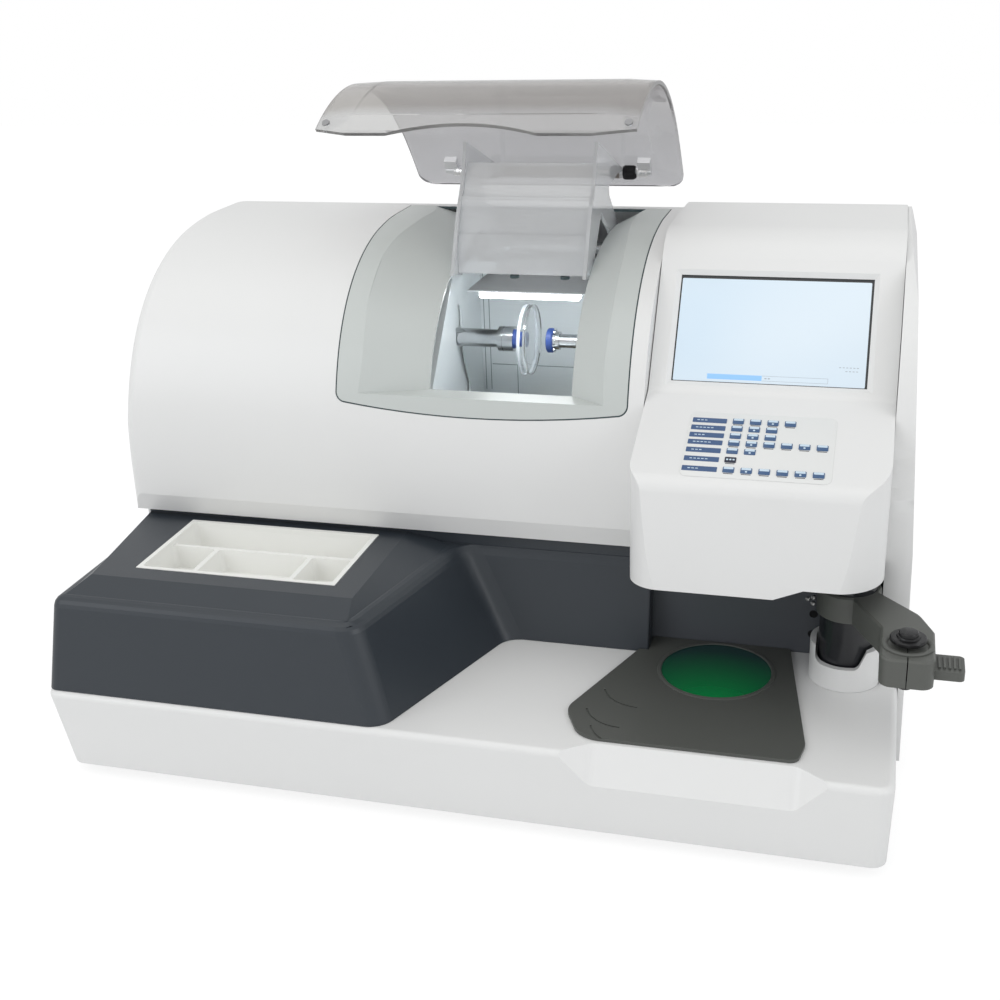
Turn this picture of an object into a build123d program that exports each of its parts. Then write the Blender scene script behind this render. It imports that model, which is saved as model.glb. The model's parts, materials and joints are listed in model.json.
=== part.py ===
from build123d import *
import math
import os

# Automatic lens faceting machine: a table top edger with a built-in lens blocker.
# Millimetres, +X to the right, +Y to the back, +Z up, drawn from the middle of the base's front edge
# at floor level and moved at the end, so that the origin lies under the middle of the machine.

# Whole machine
base_width = 680
base_back_lip = 4
foot_height = 10
table_height = 79
cover_height = 407
seat_gap = 0.3
slide_gap = 0.5
overrun = 6

# Base tray with its table top and palm scoop
tray_wall = 3.5
tray_corner = 12
tray_top_radius = 5
tray_right_inset = 3
tray_left_draft = 12
tray_right_draft = 2
tray_front_draft = 4.6
tray_works_front = 205
tray_works_margin = 12
scoop_left = 91.5
scoop_right = 294.4
scoop_slope_run = 26
scoop_depth = 18.4
scoop_drop = 27
scoop_corner = 11

# Chassis plate and feet
chassis_thick = 5
chassis_gap = 0.5
foot_radius = 18
foot_side_margin = 60
foot_front_margin = 45
foot_rear_margin = 45
foot_chamfer = 2

# Barrel: the rounded front of the housing is a quarter of a superellipse
barrel_front = 173
barrel_depth = 207
barrel_axis_y = barrel_front + barrel_depth
barrel_axis_rise = 111
barrel_axis_z = table_height + barrel_axis_rise
barrel_power = 2.6
barrel_steps = 12
cover_wall = 3
cover_end_radius = 10
cover_end_width = 34
cover_back_run = 136
cover_back = barrel_axis_y + cover_back_run
base_depth = cover_back + base_back_lip
cover_back_radius = 112
cover_left = -339
cover_left_draft = 12
cover_left_draft_from = 250
cover_seam = 126.5
cover_lip_drop = 20
cover_lip_bottom = barrel_axis_z - cover_lip_drop
cover_lip_width = 17
cover_lip_top = cover_lip_bottom + cover_lip_width
cover_lip_setback = 5
cover_lower_setback = 24
cover_lower_front = barrel_front + cover_lower_setback
rear_opening_margin = 26
rear_opening_low = 10
rear_seat = 12
rear_opening_high = cover_back_radius + rear_seat

# Dark cover at the left front, with its raised platform
dark_wall = 3
dark_edge_rise = 79
dark_edge_height = table_height + dark_edge_rise
dark_platform_rise = 7
dark_platform_height = dark_edge_height + dark_platform_rise
dark_foot_front = 3.5
dark_foot_left = -338
dark_top_left = -329
dark_top_front = 16
dark_wing_reach = 6
dark_wing_foot = barrel_front - dark_wing_reach
dark_wing_lean = 15.5
dark_wing_top = dark_wing_foot + dark_wing_lean
dark_wing_end = 134.5
dark_wing_thick = 5.5
dark_wing_rear = dark_wing_top + dark_wing_thick
dark_corner_x = -45
dark_corner_top_x = -68
dark_diagonal_x = 12.5
dark_diagonal_top_x = -30
dark_corner_radius = 20
dark_bend_radius = 20
dark_end_radius = 2
dark_upstand_thick = 4
dark_upstand_front = dark_wing_rear - dark_upstand_thick
dark_upstand_foot = 13
dark_upstand_low = dark_edge_height - dark_upstand_foot
dark_upstand_gap = 0.4
dark_upstand_top = cover_lip_bottom - dark_upstand_gap
dark_small_radius = 9
dark_top_radius = 8
dark_top_steps = 4
platform_left = -310
platform_front = 50
platform_right = -80

# Accessory tray in the platform
acc_left = -280
acc_right = -102.5
acc_front = 69
acc_back_gap = 0.6
acc_back = barrel_front - acc_back_gap
acc_height = 27
acc_rim = 4
acc_floor = 2.5
acc_rib = 4
acc_rib_drop = 5
acc_pocket_draft = 1.5
acc_pocket_corner = 4
acc_row_share = 0.42
acc_column_shares = (0.25, 0.76)
acc_pocket_wall = 2.5

# Bezel round the grinding chamber
bezel_left = -137
bezel_right = 114
bezel_height = 125
bezel_bottom = cover_height - bezel_height
bezel_bow = 9
bezel_corner = 9
bezel_back_gap = 112
bezel_back = cover_back - bezel_back_gap
bezel_gap = 1.2
bezel_wall = 3
bezel_fold_inset = 20
recess_rise = 7
recess_floor = bezel_bottom + recess_rise
mouth_left = -60
mouth_right = 63
mouth_setback = 32
mouth_front = barrel_front + mouth_setback
mouth_knee_run = 72
mouth_knee_y = mouth_front + mouth_knee_run
mouth_knee_drop = 37
mouth_knee_z = cover_height - mouth_knee_drop
mouth_top_drop = 15
mouth_top_z = cover_height - mouth_top_drop
mouth_mid_run = 58
mouth_mid_y = mouth_knee_y + mouth_mid_run
mouth_mid_drop = 19
mouth_mid_z = cover_height - mouth_mid_drop
gasket_sink = 0.6

# Lens axis and carriage
pivot_back_gap = 31
pivot_y = cover_back - pivot_back_gap
lens_arm_run = 121
lens_y = pivot_y - lens_arm_run
lens_drop = 116.5
lens_z = cover_height - lens_drop
lens_x = -15.7
lens_radius = 32.7
lens_thick = 2.6
lens_curve = 105
pivot_rise = 9.5
pivot_z = lens_z + pivot_rise
carriage_up = 10
carriage_down = 29
slot_gap = 1.2
shaft_radius = 8.5
clamp_shaft_radius = 6.5
chuck_left = -41.7
chuck_right = -27
chuck_radius = 11.8
block_length = 9
block_radius = 9
pad_left = 4.9
pad_length = 6
pad_radius = 11.5
collet_length = 6
collet_radius = 8.5
clamp_travel = 17
arm_inner_left = -104
arm_inner_right = 107
arm_thick = 22
arm_nose = 17
tube_radius = 15
pivot_radius = 8
pivot_fit = 0.03
shaft_fit = 0.03
support_thick = 14
support_gap = 1
support_width = 44
left_shaft_end = -192
shaft_pulley_radius = 22
motor_pulley_small_radius = 8
lens_pulley_width = 10
lens_belt_thick = 1.6
lens_belt_gap = 0.1
drive_motor_radius = 17
drive_motor_length = 46
drive_motor_reach = 46
drive_motor_clear = 5
motor_shaft_radius = 3
quill_radius = 12
quill_length = 40
quill_flange = 17
quill_flange_length = 6
right_shaft_end = 175
right_collar_radius = 9.5
right_collar_length = 6

# Grinding wheels
wheel_setback = 22
wheel_y = lens_y + wheel_setback
wheel_drop = 142.5
wheel_z = lens_z - wheel_drop
wheel_radius = 50
rough_left = -44
rough_right = -14
finish_right = 16
wheel_gap = 1
wheel_groove = 2.5
wheel_chamfer = 1.5
spindle_radius = 10
spindle_nut_radius = 17
spindle_nut_length = 8
spindle_left = -120
spindle_right = 172
spindle_bearing_radius = 24
spindle_bearing_length = 18
spindle_fit = 0.03
spindle_bore_gap = 2
pulley_left = 150
pulley_width = 18
pulley_radius = 24
pulley_flange = 2
pulley_flange_height = 3
belt_thick = 2.5
belt_gap = 0.1
motor_back_gap = 61
motor_y = cover_back - motor_back_gap
motor_rise = 51
motor_z = foot_height + chassis_thick + motor_rise
motor_pulley_radius = 18
motor_radius = 40
motor_left = 182
motor_length = 110
motor_foot_width = 60
motor_shaft_stub = 7

# Lid and inner guard, drawn open as it rests
lid_pivot_back_gap = 76
lid_pivot_y = cover_back - lid_pivot_back_gap
lid_pivot_drop = 45
lid_pivot_z = cover_height - lid_pivot_drop
lid_open_angle = 50
lid_left = -141
lid_right = 118
lid_gap = 1
lid_wall = 3.2
lid_rise = 12
lid_fold_rise = 6
lid_crown_rise = 4.4
lid_crown_angle = 45
lid_full_angle = 72
lid_bevel = 27
lid_lip = 3
lid_front_overlap = 20.5
lid_front_height = bezel_bottom - lid_front_overlap
lid_front_bevel = 18.5
lid_tip_rise = 6.5
lid_corner_radius = 14
lid_back_gap = 36
lid_back = lid_pivot_y - lid_back_gap
lid_back_bevel = 10
lid_notch_x = -20
lid_notch_half = 62
lid_notch_rise = 11
arm_plate = 3
arm_plate_gap = 1.5
guard_radius = 145
guard_sheet_thick = 2.8
guard_step = 2.5
guard_low_angle = 3
guard_high_angle = 41
guard_bands = 3
arm_boss_radius = 11
lid_shaft_radius = 6
lid_shaft_fit = 0.03
lid_support_thick = 10
lid_support_gap = 3
lid_support_half = 8
crossbar_reach = 52
crossbar_closed_y = lid_pivot_y - crossbar_reach
crossbar_radius = 4.2
plate_top_clear = 3
plate_eye_wall = 1.8
crossbar_left = -112
crossbar_right = 88
crossbar_lug_width = 12
crossbar_lug_length = 16
bumper_radius = 4
bumper_height = 3
bumper_shares = (0.457, 0.84)
lid_screw_radius = 3
lid_screw_head = 1.6
lid_screw_inset = 7
lid_screw_height = 12.5
lid_screw_seat = 0.8

# Grinding chamber liner
liner_left = -82
liner_right = 85
liner_back = lid_pivot_y
liner_sheet = 1.5
liner_roof_drop = 12
liner_roof = lid_pivot_z - liner_roof_drop
liner_roof_run = 139
liner_roof_front = liner_back - liner_roof_run
liner_floor_gap = 12
liner_floor = wheel_z - wheel_radius - liner_floor_gap
liner_front_gap = 14
liner_front_low = wheel_y - wheel_radius - liner_front_gap
liner_apron_step = 1
liner_apron_top = bezel_bottom + liner_apron_step
liner_apron_fall = 57
liner_apron_low = liner_apron_top - liner_apron_fall
liner_flange = 12
liner_lip_setback = 5
liner_back_lip = mouth_front + liner_lip_setback
liner_knee_drop = 4
liner_back_drop = 4
drain_radius = 16
drain_length = 30
drain_stop_width = 4
drain_stop_depth = 2
drain_hose_room = 8
lamp_left = -42
lamp_right = 48
lamp_setback = 2
lamp_front = liner_roof_front + lamp_setback
lamp_width = 14
lamp_height = 6

# Console
console_left = 127.3
console_right = 320
console_overhang = 76
console_front = barrel_front - console_overhang
console_rise = 93
console_bottom = table_height + console_rise
console_brow_lean = 5
console_brow_y = console_front + console_brow_lean
console_brow_rise = 87.6
console_brow_z = console_bottom + console_brow_rise
console_fold_run = 99.3
console_fold_y = console_brow_y + console_fold_run
console_fold_rise = 39.7
console_fold_z = console_brow_z + console_fold_rise
console_proud = 5
console_top = cover_height + console_proud
console_peak_run = 79.7
console_peak_y = console_fold_y + console_peak_run
console_wall = 3
console_corner_left = 25
console_corner_right = 38
console_brow_radius = 14
console_fold_radius = 12
console_peak_radius = 45
console_arch_left = 240
console_arch_run = 22
console_arch_rise = 9
console_base_rise = 12
console_base_height = console_bottom + console_base_rise
console_base_thick = 3
console_base_setback = 4.5
console_radius_gap = 14
console_side_opening = 80
screen_left = 144.4
screen_width = 153
screen_height = 91
screen_from_fold = 9.5
screen_recess = 2.6
screen_recess_flare = 4
screen_lip = 5
lcd_thick = 7
screen_glass_drop = 0.6
keypad_left = 164.5
keypad_width = 113
keypad_depth = 74
keypad_from_brow = 8
keypad_thick = 0.5
key_width = 8.6
key_depth = 6
key_rise = 0.5
key_rows = (4, 3, 3, 6, 2, 1, 6)
key_row_shares = (0.126, 0.243, 0.359, 0.472, 0.595, 0.73, 0.88)
key_pitch = 13.2
key_first = 38.7
label_width = 26.4
label_left = 3.5
label_depth = 5.4
board_thick = 1.6
board_width = 150
board_height = 84
board_standoff = 12
standoff_radius = 3
standoff_inset = 8
chip_size = 18
chip_height = 4
chip_pitch = 40
chip_count = 3

# Right side cover
side_left = 320.3
side_bottom_x = 343
side_mid_x = 340.5
side_mid_rise = 13
side_mid_z = console_bottom + side_mid_rise
side_top_x = 331
side_crown_x = 323
side_shoulder_drop = 35
side_shoulder_z = cover_height - side_shoulder_drop
side_wall = 2.5
side_front_low = 152
side_proud = 3
side_back_inset = 1
side_back = base_depth - side_back_inset

# Stage below the console
stage_panel_setback = 19
stage_panel_front = barrel_front + stage_panel_setback
stage_panel_thick = 3
stage_panel_left = 128
stage_panel_flange = 14
stage_thick = 2.6
stage_left_back = 136
stage_right_back = 250
stage_right_front = 272
stage_left_front = 88
stage_front_left = 106
stage_front_right = 268
stage_front = 21.5
stage_back = stage_panel_front - slide_gap
stage_left_mid_y = 60
stage_right_mid_y = 45
stage_radii = (3, 22, 24, 8, 15, 3)
window_x = 194.3
window_radius = 46.5
window_back_gap = 3
window_y = stage_panel_front - window_radius - window_back_gap
window_rim = 2.2
window_thick = 4
window_sink = 0.4
lamp_board_size = 96
lamp_board_drop = 22
lamp_count = 12
lamp_ring = 36
lamp_bulb_radius = 3
lamp_bulb_height = 5
groove_width = 1.6
groove_depth = 0.8
groove_spans = ((112, 94), (104, 62), (112, 38))
groove_reach = 30
groove_shares = ((0, 0), (0.42, 0.58), (1, 0.75))

# Blocker post, collar, arm and plunger
post_x = 295
post_back_gap = 32
post_y = stage_panel_front - post_back_gap
post_radius = 9
post_fit = 0.03
post_seat = 2.5
post_top = console_base_height + post_seat
collar_radius = 28
collar_bore = 23.4
collar_rise = 20
collar_low = table_height + collar_rise
collar_height = 14
collar_high = collar_low + collar_height
collar_skirt_radius = 26
collar_skirt_depth = 20
collar_floor = 3
collar_ramp_left = -23
collar_ramp_right = 10
collar_ramp_run = 9
collar_ramp_radius = 5
sleeve_radius = 21.6
sleeve_drop = 4
sleeve_bottom = collar_low - sleeve_drop
sleeve_rise = 6
sleeve_top = console_bottom + sleeve_rise
sleeve_end = 12
sleeve_wall = 4
sleeve_chamfer = 1.5
arm_drop = 12
arm_top = console_bottom - arm_drop
arm_depth = 22
arm_bottom = arm_top - arm_depth
rest_angle = -64.6
block_half_width = 19
block_half_depth = 25
arm_root_half = 17
arm_shoulder = 26
arm_shoulder_in = 10
arm_corner = 9
arm_ring_wall = 3
arm_edge = 1.5
split_width = 0.8
plunger_radius = 5
plunger_fit = 0.06
plunger_travel = 3.5
plunger_stop_gap = 0.2
knob_radius = 12.6
knob_height = 3
knob_cap_radius = 5.2
knob_cap_height = 3
holder_radius = 10.5
holder_height = 6
holder_flutes = 24
holder_flute = 0.8
tab_length = 21
tab_half_width = 13
tab_thick = 7
tab_drop = 12
tab_rib = 1.6
tab_ribs = 5
tab_corner = 4

# Rear panel, electrics and screws
rear_thick = 2
rear_margin_low = 5
rear_lap = 10
rear_margin_high = rear_opening_high - rear_lap
rear_margin_side = 19
vent_count = 9
vent_width = 3.5
vent_length = 60
vent_pitch = 9
vent_x = -230
inlet_x = -260
inlet_rise = 31
inlet_z = table_height + inlet_rise
vent_rise = 40
vent_z = inlet_z + vent_rise
inlet_width = 48
inlet_height = 28
inlet_depth = 22
inlet_flange = 4
inlet_flange_thick = 2
inlet_socket_width = 24
inlet_socket_height = 16
inlet_pin_radius = 1.6
switch_x = -205
switch_width = 13
switch_height = 20
switch_gap = 0.6
switch_sink = 4
switch_notch = 3
switch_angle = 8
switch_ear = 2.5
switch_ear_half = 6
switch_pin_radius = 2
supply_left = -318
supply_width = 110
supply_depth = 200
supply_height = 50
supply_back_gap = 81
supply_front = cover_back - supply_back_gap - supply_depth
supply_wall = 2
screw_radius = 3.2
screw_head = 2
screw_slot = 0.8
screw_margin = 9
panel_screw_offset = 45
panel_screw_drop = 2
panel_screw_pitch = 20
nozzle_radius = 3
nozzle_bore = 1.6
nozzle_length = 14
nozzle_barb = 10
nozzle_x = 8
nozzle_rise = 61
nozzle_z = wheel_z + nozzle_rise


def block(x0, x1, y0, y1, z0, z1):
    return Pos((x0 + x1) / 2, (y0 + y1) / 2, (z0 + z1) / 2) * Box(x1 - x0, y1 - y0, z1 - z0)


def rod_x(x0, x1, y, z, radius):
    return Pos((x0 + x1) / 2, y, z) * Rot(0, 90, 0) * Cylinder(radius, x1 - x0)


def rod_y(y0, y1, x, z, radius):
    return Pos(x, (y0 + y1) / 2, z) * Rot(90, 0, 0) * Cylinder(radius, y1 - y0)


def rod_z(z0, z1, x, y, radius):
    return Pos(x, y, (z0 + z1) / 2) * Cylinder(radius, z1 - z0)


def slab_x(face, x0, x1):
    return extrude(Plane.YZ.offset(x0) * face, x1 - x0, dir=(1, 0, 0))


def slab_y(face, y0, y1):
    front = Plane((0, y0, 0), x_dir=(1, 0, 0), z_dir=(0, -1, 0))
    return extrude(front * face, y1 - y0, dir=(0, 1, 0))


def slab_z(face, z0, z1):
    return extrude(Pos(0, 0, z0) * face, z1 - z0, dir=(0, 0, 1))


def polygon(points):
    return make_face(Polyline(*points, close=True))


def rounded_polygon(points, radii):
    face = polygon(points)
    for point, radius in zip(points, radii):
        if radius:
            corner = face.vertices().sort_by_distance(Vertex(*point, 0))[0]
            face = fillet(corner, radius)
    return face


def ring(points):
    edges = [Line(a, b) for a, b in zip(points, points[1:])]
    return edges


# Points on the barrel's outline, as depth and height
barrel_run = barrel_axis_y - barrel_front
barrel_lift = cover_height - barrel_axis_z


def barrel_point(angle, offset):
    across, up = math.cos(angle), math.sin(angle)
    y = barrel_axis_y - barrel_run * across ** (2 / barrel_power)
    z = barrel_axis_z + barrel_lift * up ** (2 / barrel_power)
    slope_y = -across ** (2 - 2 / barrel_power) / barrel_run
    slope_z = up ** (2 - 2 / barrel_power) / barrel_lift
    size = math.hypot(slope_y, slope_z)
    return (y + offset * slope_y / size, z + offset * slope_z / size)


def barrel_angle(height):
    return math.asin(((height - barrel_axis_z) / barrel_lift) ** (barrel_power / 2))


def barrel_curve(offset, low=0.0, high=math.pi / 2, steps=barrel_steps):
    spread = [low + (high - low) * max(0.0, min(1.0, i / steps)) for i in range(steps + 1)]
    return [barrel_point(max(0.0, min(math.pi / 2, angle)), offset) for angle in spread]


def cover_face(inset):
    front = barrel_front + inset
    top = cover_height - inset
    back = cover_back - inset
    bend = cover_back_radius - inset
    curve = Spline(*barrel_curve(-inset), tangents=[(0, 1), (1, 0)])
    turn = bend * math.sqrt(0.5)
    rear = ThreePointArc((back - bend, top), (back - bend + turn, top - bend + turn), (back, top - bend))
    lower = [
        (back, top - bend), (back, table_height + seat_gap),
        (cover_lower_front + inset, table_height + seat_gap),
        (cover_lower_front + inset, cover_lip_bottom), (front + cover_lip_setback, cover_lip_bottom),
        (front, cover_lip_top), (front, barrel_axis_z),
    ]
    top_line = Line((barrel_axis_y, top), (back - bend, top))
    return make_face([curve, top_line, rear] + ring(lower))


def cover_ends(inset):
    left = cover_left + inset
    high = cover_height + overrun
    return polygon([
        (left, 0), (left, cover_left_draft_from), (left + cover_left_draft, high),
        (cover_seam + inset, high), (cover_seam + inset, 0),
    ])


def bezel_prism(inset):
    left, right = bezel_left + inset, bezel_right - inset
    low = bezel_bottom + inset
    high = cover_height + 2 * overrun
    bottom = ThreePointArc((left, low), ((left + right) / 2, low - bezel_bow), (right, low))
    face = make_face([bottom] + ring([(right, low), (right, high), (left, high), (left, low)]))
    for corner in ((left, low), (right, low)):
        face = fillet(face.vertices().sort_by_distance(Vertex(*corner, 0))[0], bezel_corner - inset)
    return slab_y(face, barrel_front - overrun, bezel_back - inset)


def make_main_cover():
    outside = slab_x(cover_face(0), cover_left, cover_seam) & slab_y(cover_ends(0), 0, base_depth)
    rim = [edge for edge in outside.edges()
           if edge.center().X < cover_left + cover_left_draft and edge.center().Z > cover_lip_top
           and edge.center().Y < cover_back - cover_wall
           and abs(edge.center().Z - cover_left_draft_from) > cover_wall]
    outside = fillet(rim, cover_end_radius)
    inside = slab_x(cover_face(cover_wall), cover_left, cover_seam - cover_wall)
    inside &= slab_y(cover_ends(cover_wall), 0, base_depth)
    inside += slab_x(cover_face(cover_end_width), cover_seam - 2 * cover_wall, cover_seam + overrun)
    rear_end = block(cover_seam - 2 * cover_wall, cover_seam + overrun, barrel_axis_y + cover_end_width,
                     base_depth, table_height, cover_height)
    inside += slab_x(cover_face(cover_wall), cover_seam - 2 * cover_wall, cover_seam + overrun) & rear_end
    shell = outside - inside - bezel_prism(0)
    works = block(
        cover_left + rear_opening_margin, cover_seam - rear_opening_margin, cover_back - 2 * cover_wall,
        cover_back + overrun, table_height + rear_opening_low, cover_height - rear_opening_high,
    )
    return shell - works


def make_bezel_gasket():
    outer = slab_x(cover_face(gasket_sink), bezel_left, bezel_right)
    inner = slab_x(cover_face(cover_wall), bezel_left - overrun, bezel_right + overrun)
    shell = outer - inner
    return shell & (bezel_prism(0) - bezel_prism(bezel_gap))


# The recess floor's outline, from the mouth's front edge up and over to the back
def recess_curve(depth):
    return [
        (mouth_front + depth, recess_floor), (mouth_knee_y + depth, mouth_knee_z - depth / 2),
        (mouth_mid_y, mouth_mid_z - depth), (bezel_back + overrun, mouth_top_z - depth),
    ]


def recess_section(x, points, floor):
    first, last = points[0], points[-1]
    outside = [
        last, (last[0], cover_height + 4 * overrun), (barrel_front - 2 * overrun, cover_height + 4 * overrun),
        (barrel_front - 2 * overrun, floor), (first[0], floor),
    ]
    if first[1] > floor:
        outside.append(first)
    curve = Spline(*points)
    return Plane.YZ.offset(x) * make_face([curve] + ring(outside))


def surface_points(offset):
    start = barrel_angle(recess_floor)
    shares = (0, 0.35, 0.62)
    points = [barrel_point(start + (math.pi / 2 - start) * share, offset) for share in shares]
    return points + [(bezel_back + overrun, cover_height + offset)]


def recess_body(depth):
    skim = -depth
    left_fold, right_fold = bezel_left + bezel_fold_inset, bezel_right - bezel_fold_inset
    floor = recess_floor - depth
    rim = surface_points(skim)
    deep = recess_curve(depth)
    left = loft([
        recess_section(left_fold - depth, rim, floor), recess_section(mouth_left - depth, deep, floor),
    ], ruled=True)
    right = loft([
        recess_section(mouth_right + depth, deep, floor), recess_section(right_fold + depth, rim, floor),
    ], ruled=True)
    middle = extrude(recess_section(mouth_left - depth, deep, floor),
                     mouth_right - mouth_left + 2 * depth, dir=(1, 0, 0))
    return left + middle + right


def make_chamber_bezel():
    outer = slab_x(cover_face(0), bezel_left, bezel_right)
    band = outer - slab_x(cover_face(bezel_wall), bezel_left - overrun, bezel_right + overrun)
    walls = recess_body(bezel_wall) & outer
    mouth = block(mouth_left, mouth_right, mouth_front, bezel_back + overrun, recess_floor - 3 * overrun,
                  cover_height + overrun)
    return ((band + walls) & bezel_prism(bezel_gap)) - recess_body(0) - mouth


def rounded_slab(x0, x1, y0, y1, z, radius):
    return Pos((x0 + x1) / 2, (y0 + y1) / 2, z) * RectangleRounded(x1 - x0, y1 - y0, radius)


def inset_points(points, distance):
    count = len(points)
    moved = []
    for i, (x, y) in enumerate(points):
        before, after = points[i - 1], points[(i + 1) % count]
        ax, ay = x - before[0], y - before[1]
        bx, by = after[0] - x, after[1] - y
        la, lb = math.hypot(ax, ay), math.hypot(bx, by)
        ax, ay, bx, by = ax / la, ay / la, bx / lb, by / lb
        turn = 1 + ax * bx + ay * by
        moved.append((x + distance * (-ay - by) / turn, y + distance * (ax + bx) / turn))
    return moved


tray_right = base_width / 2 - tray_right_inset
tray_left = -base_width / 2


def tray_body(inset, top):
    lower = rounded_slab(tray_left + tray_left_draft + inset, tray_right - tray_right_draft - inset,
                         tray_front_draft + inset, base_depth - tray_front_draft - inset,
                         foot_height, tray_corner - inset)
    upper = rounded_slab(tray_left + inset, tray_right - inset, inset, base_depth - inset, top,
                         tray_corner - inset)
    return loft([lower, upper])


def scoop_section(height):
    low = table_height - scoop_drop
    low_back = tray_front_draft * scoop_drop / (table_height - foot_height)
    share = (height - low) / scoop_drop
    back = low_back + (scoop_depth - low_back) * share
    out = scoop_slope_run * (back + overrun) / scoop_depth
    inner_left, inner_right = scoop_left + scoop_slope_run, scoop_right - scoop_slope_run
    points = [(inner_left, back), (inner_left - out, -overrun), (inner_right + out, -overrun),
              (inner_right, back)]
    return Pos(0, 0, height) * rounded_polygon(points, [scoop_corner, 0, 0, scoop_corner])


def make_base_tray():
    outside = tray_body(0, table_height)
    outside = fillet(outside.edges().group_by(Axis.Z)[-1], tray_top_radius)
    tray = outside - tray_body(tray_wall, table_height - tray_wall)
    works = block(tray_left + tray_works_margin, tray_right - tray_works_margin, tray_works_front,
                  base_depth - tray_works_margin, table_height - tray_wall - overrun, table_height + overrun)
    window = rod_z(table_height - 2 * overrun, table_height + overrun, window_x, window_y,
                   window_radius + window_rim)
    post = rod_z(table_height - 2 * overrun, table_height + overrun, post_x, post_y,
                 collar_skirt_radius + seat_gap)
    scoop = loft([scoop_section(table_height - scoop_drop), scoop_section(table_height + overrun)],
                 ruled=True)
    floor = loft([
        Pos(0, 0, -tray_wall) * scoop_section(table_height - scoop_drop),
        Pos(0, 0, -tray_wall) * scoop_section(table_height),
    ], ruled=True)
    skin = floor & outside
    return tray + skin - works - window - post - scoop


chassis_top = foot_height + chassis_thick
chassis_left = tray_left + tray_left_draft + tray_wall + chassis_gap
chassis_right = tray_right - tray_right_draft - tray_wall - chassis_gap
chassis_front = tray_front_draft + tray_wall + chassis_gap
chassis_back = base_depth - chassis_front
foot_places = [
    (x, y) for x in (chassis_left + foot_side_margin, chassis_right - foot_side_margin)
    for y in (chassis_front + foot_front_margin, chassis_back - foot_rear_margin)
]


def make_chassis_plate():
    plate = rounded_slab(chassis_left, chassis_right, chassis_front, chassis_back, 0, tray_corner - tray_wall)
    return slab_z(plate, foot_height, chassis_top) - rod_z(
        0, chassis_top + overrun, drain_x, drain_y, drain_radius + drain_hose_room)


def make_rubber_feet():
    foot = rod_z(0, foot_height, 0, 0, foot_radius)
    foot = chamfer(foot.edges().group_by(Axis.Z)[0], foot_chamfer)
    return Compound([Pos(x, y, 0) * foot for x, y in foot_places])


# Between its foot and its top edge the dark cover leans inwards evenly
def dark_lean(height, foot, top):
    return foot + (top - foot) * (height - table_height) / (dark_edge_height - table_height)


def dark_outline(height, inset):
    left = dark_lean(height, dark_foot_left, dark_top_left)
    front = dark_lean(height, dark_foot_front, dark_top_front)
    corner = dark_lean(height, dark_corner_x, dark_corner_top_x)
    bend = dark_lean(height, dark_diagonal_x, dark_diagonal_top_x)
    wing = dark_lean(height, dark_wing_foot, dark_wing_top)
    run, rise = bend - corner, wing - front
    length = math.hypot(run, rise)
    start_x, start_y = corner - inset * rise / length, front + inset * run / length
    wing_inset = min(inset, dark_end_radius / 2)
    near, far = front + inset, wing + wing_inset
    points = [(left + inset, near), (start_x + (near - start_y) * run / rise, near),
              (start_x + (far - start_y) * run / rise, far), (dark_wing_end - wing_inset, far),
              (dark_wing_end - wing_inset, dark_wing_rear), (left + inset, dark_wing_rear)]
    radii = [dark_small_radius - inset, dark_corner_radius - inset, dark_bend_radius + inset,
             dark_end_radius - wing_inset, 0, 0]
    return Pos(0, 0, height) * rounded_polygon(points, radii)


def dark_platform(height, inset):
    points = [(platform_left, platform_front), (platform_right, platform_front),
              (platform_right, dark_wing_rear), (dark_top_left, dark_wing_rear)]
    grown = inset_points(points, inset)
    return Pos(0, 0, height) * polygon(grown)


def dark_inner(height):
    if height > table_height + overrun:
        left, front, corner, bend, wing = (
            dark_top_left, dark_top_front, dark_corner_top_x, dark_diagonal_top_x, dark_wing_top)
    else:
        left, front, corner, bend, wing = (
            dark_foot_left, dark_foot_front, dark_corner_x, dark_diagonal_x, dark_wing_foot)
    points = [(left, front), (corner, front), (bend, wing), (bend, dark_wing_rear), (left, dark_wing_rear)]
    radii = [dark_small_radius - dark_wall, dark_corner_radius - dark_wall, 0, 0, 0]
    return Pos(0, 0, height) * rounded_polygon(inset_points(points, dark_wall), radii)


def dark_cap(height, inset):
    points = [(dark_top_left, dark_top_front), (dark_corner_top_x, dark_top_front),
              (dark_diagonal_top_x, dark_wing_rear), (dark_top_left, dark_wing_rear)]
    return Pos(0, 0, height) * polygon(inset_points(points, inset))


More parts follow.
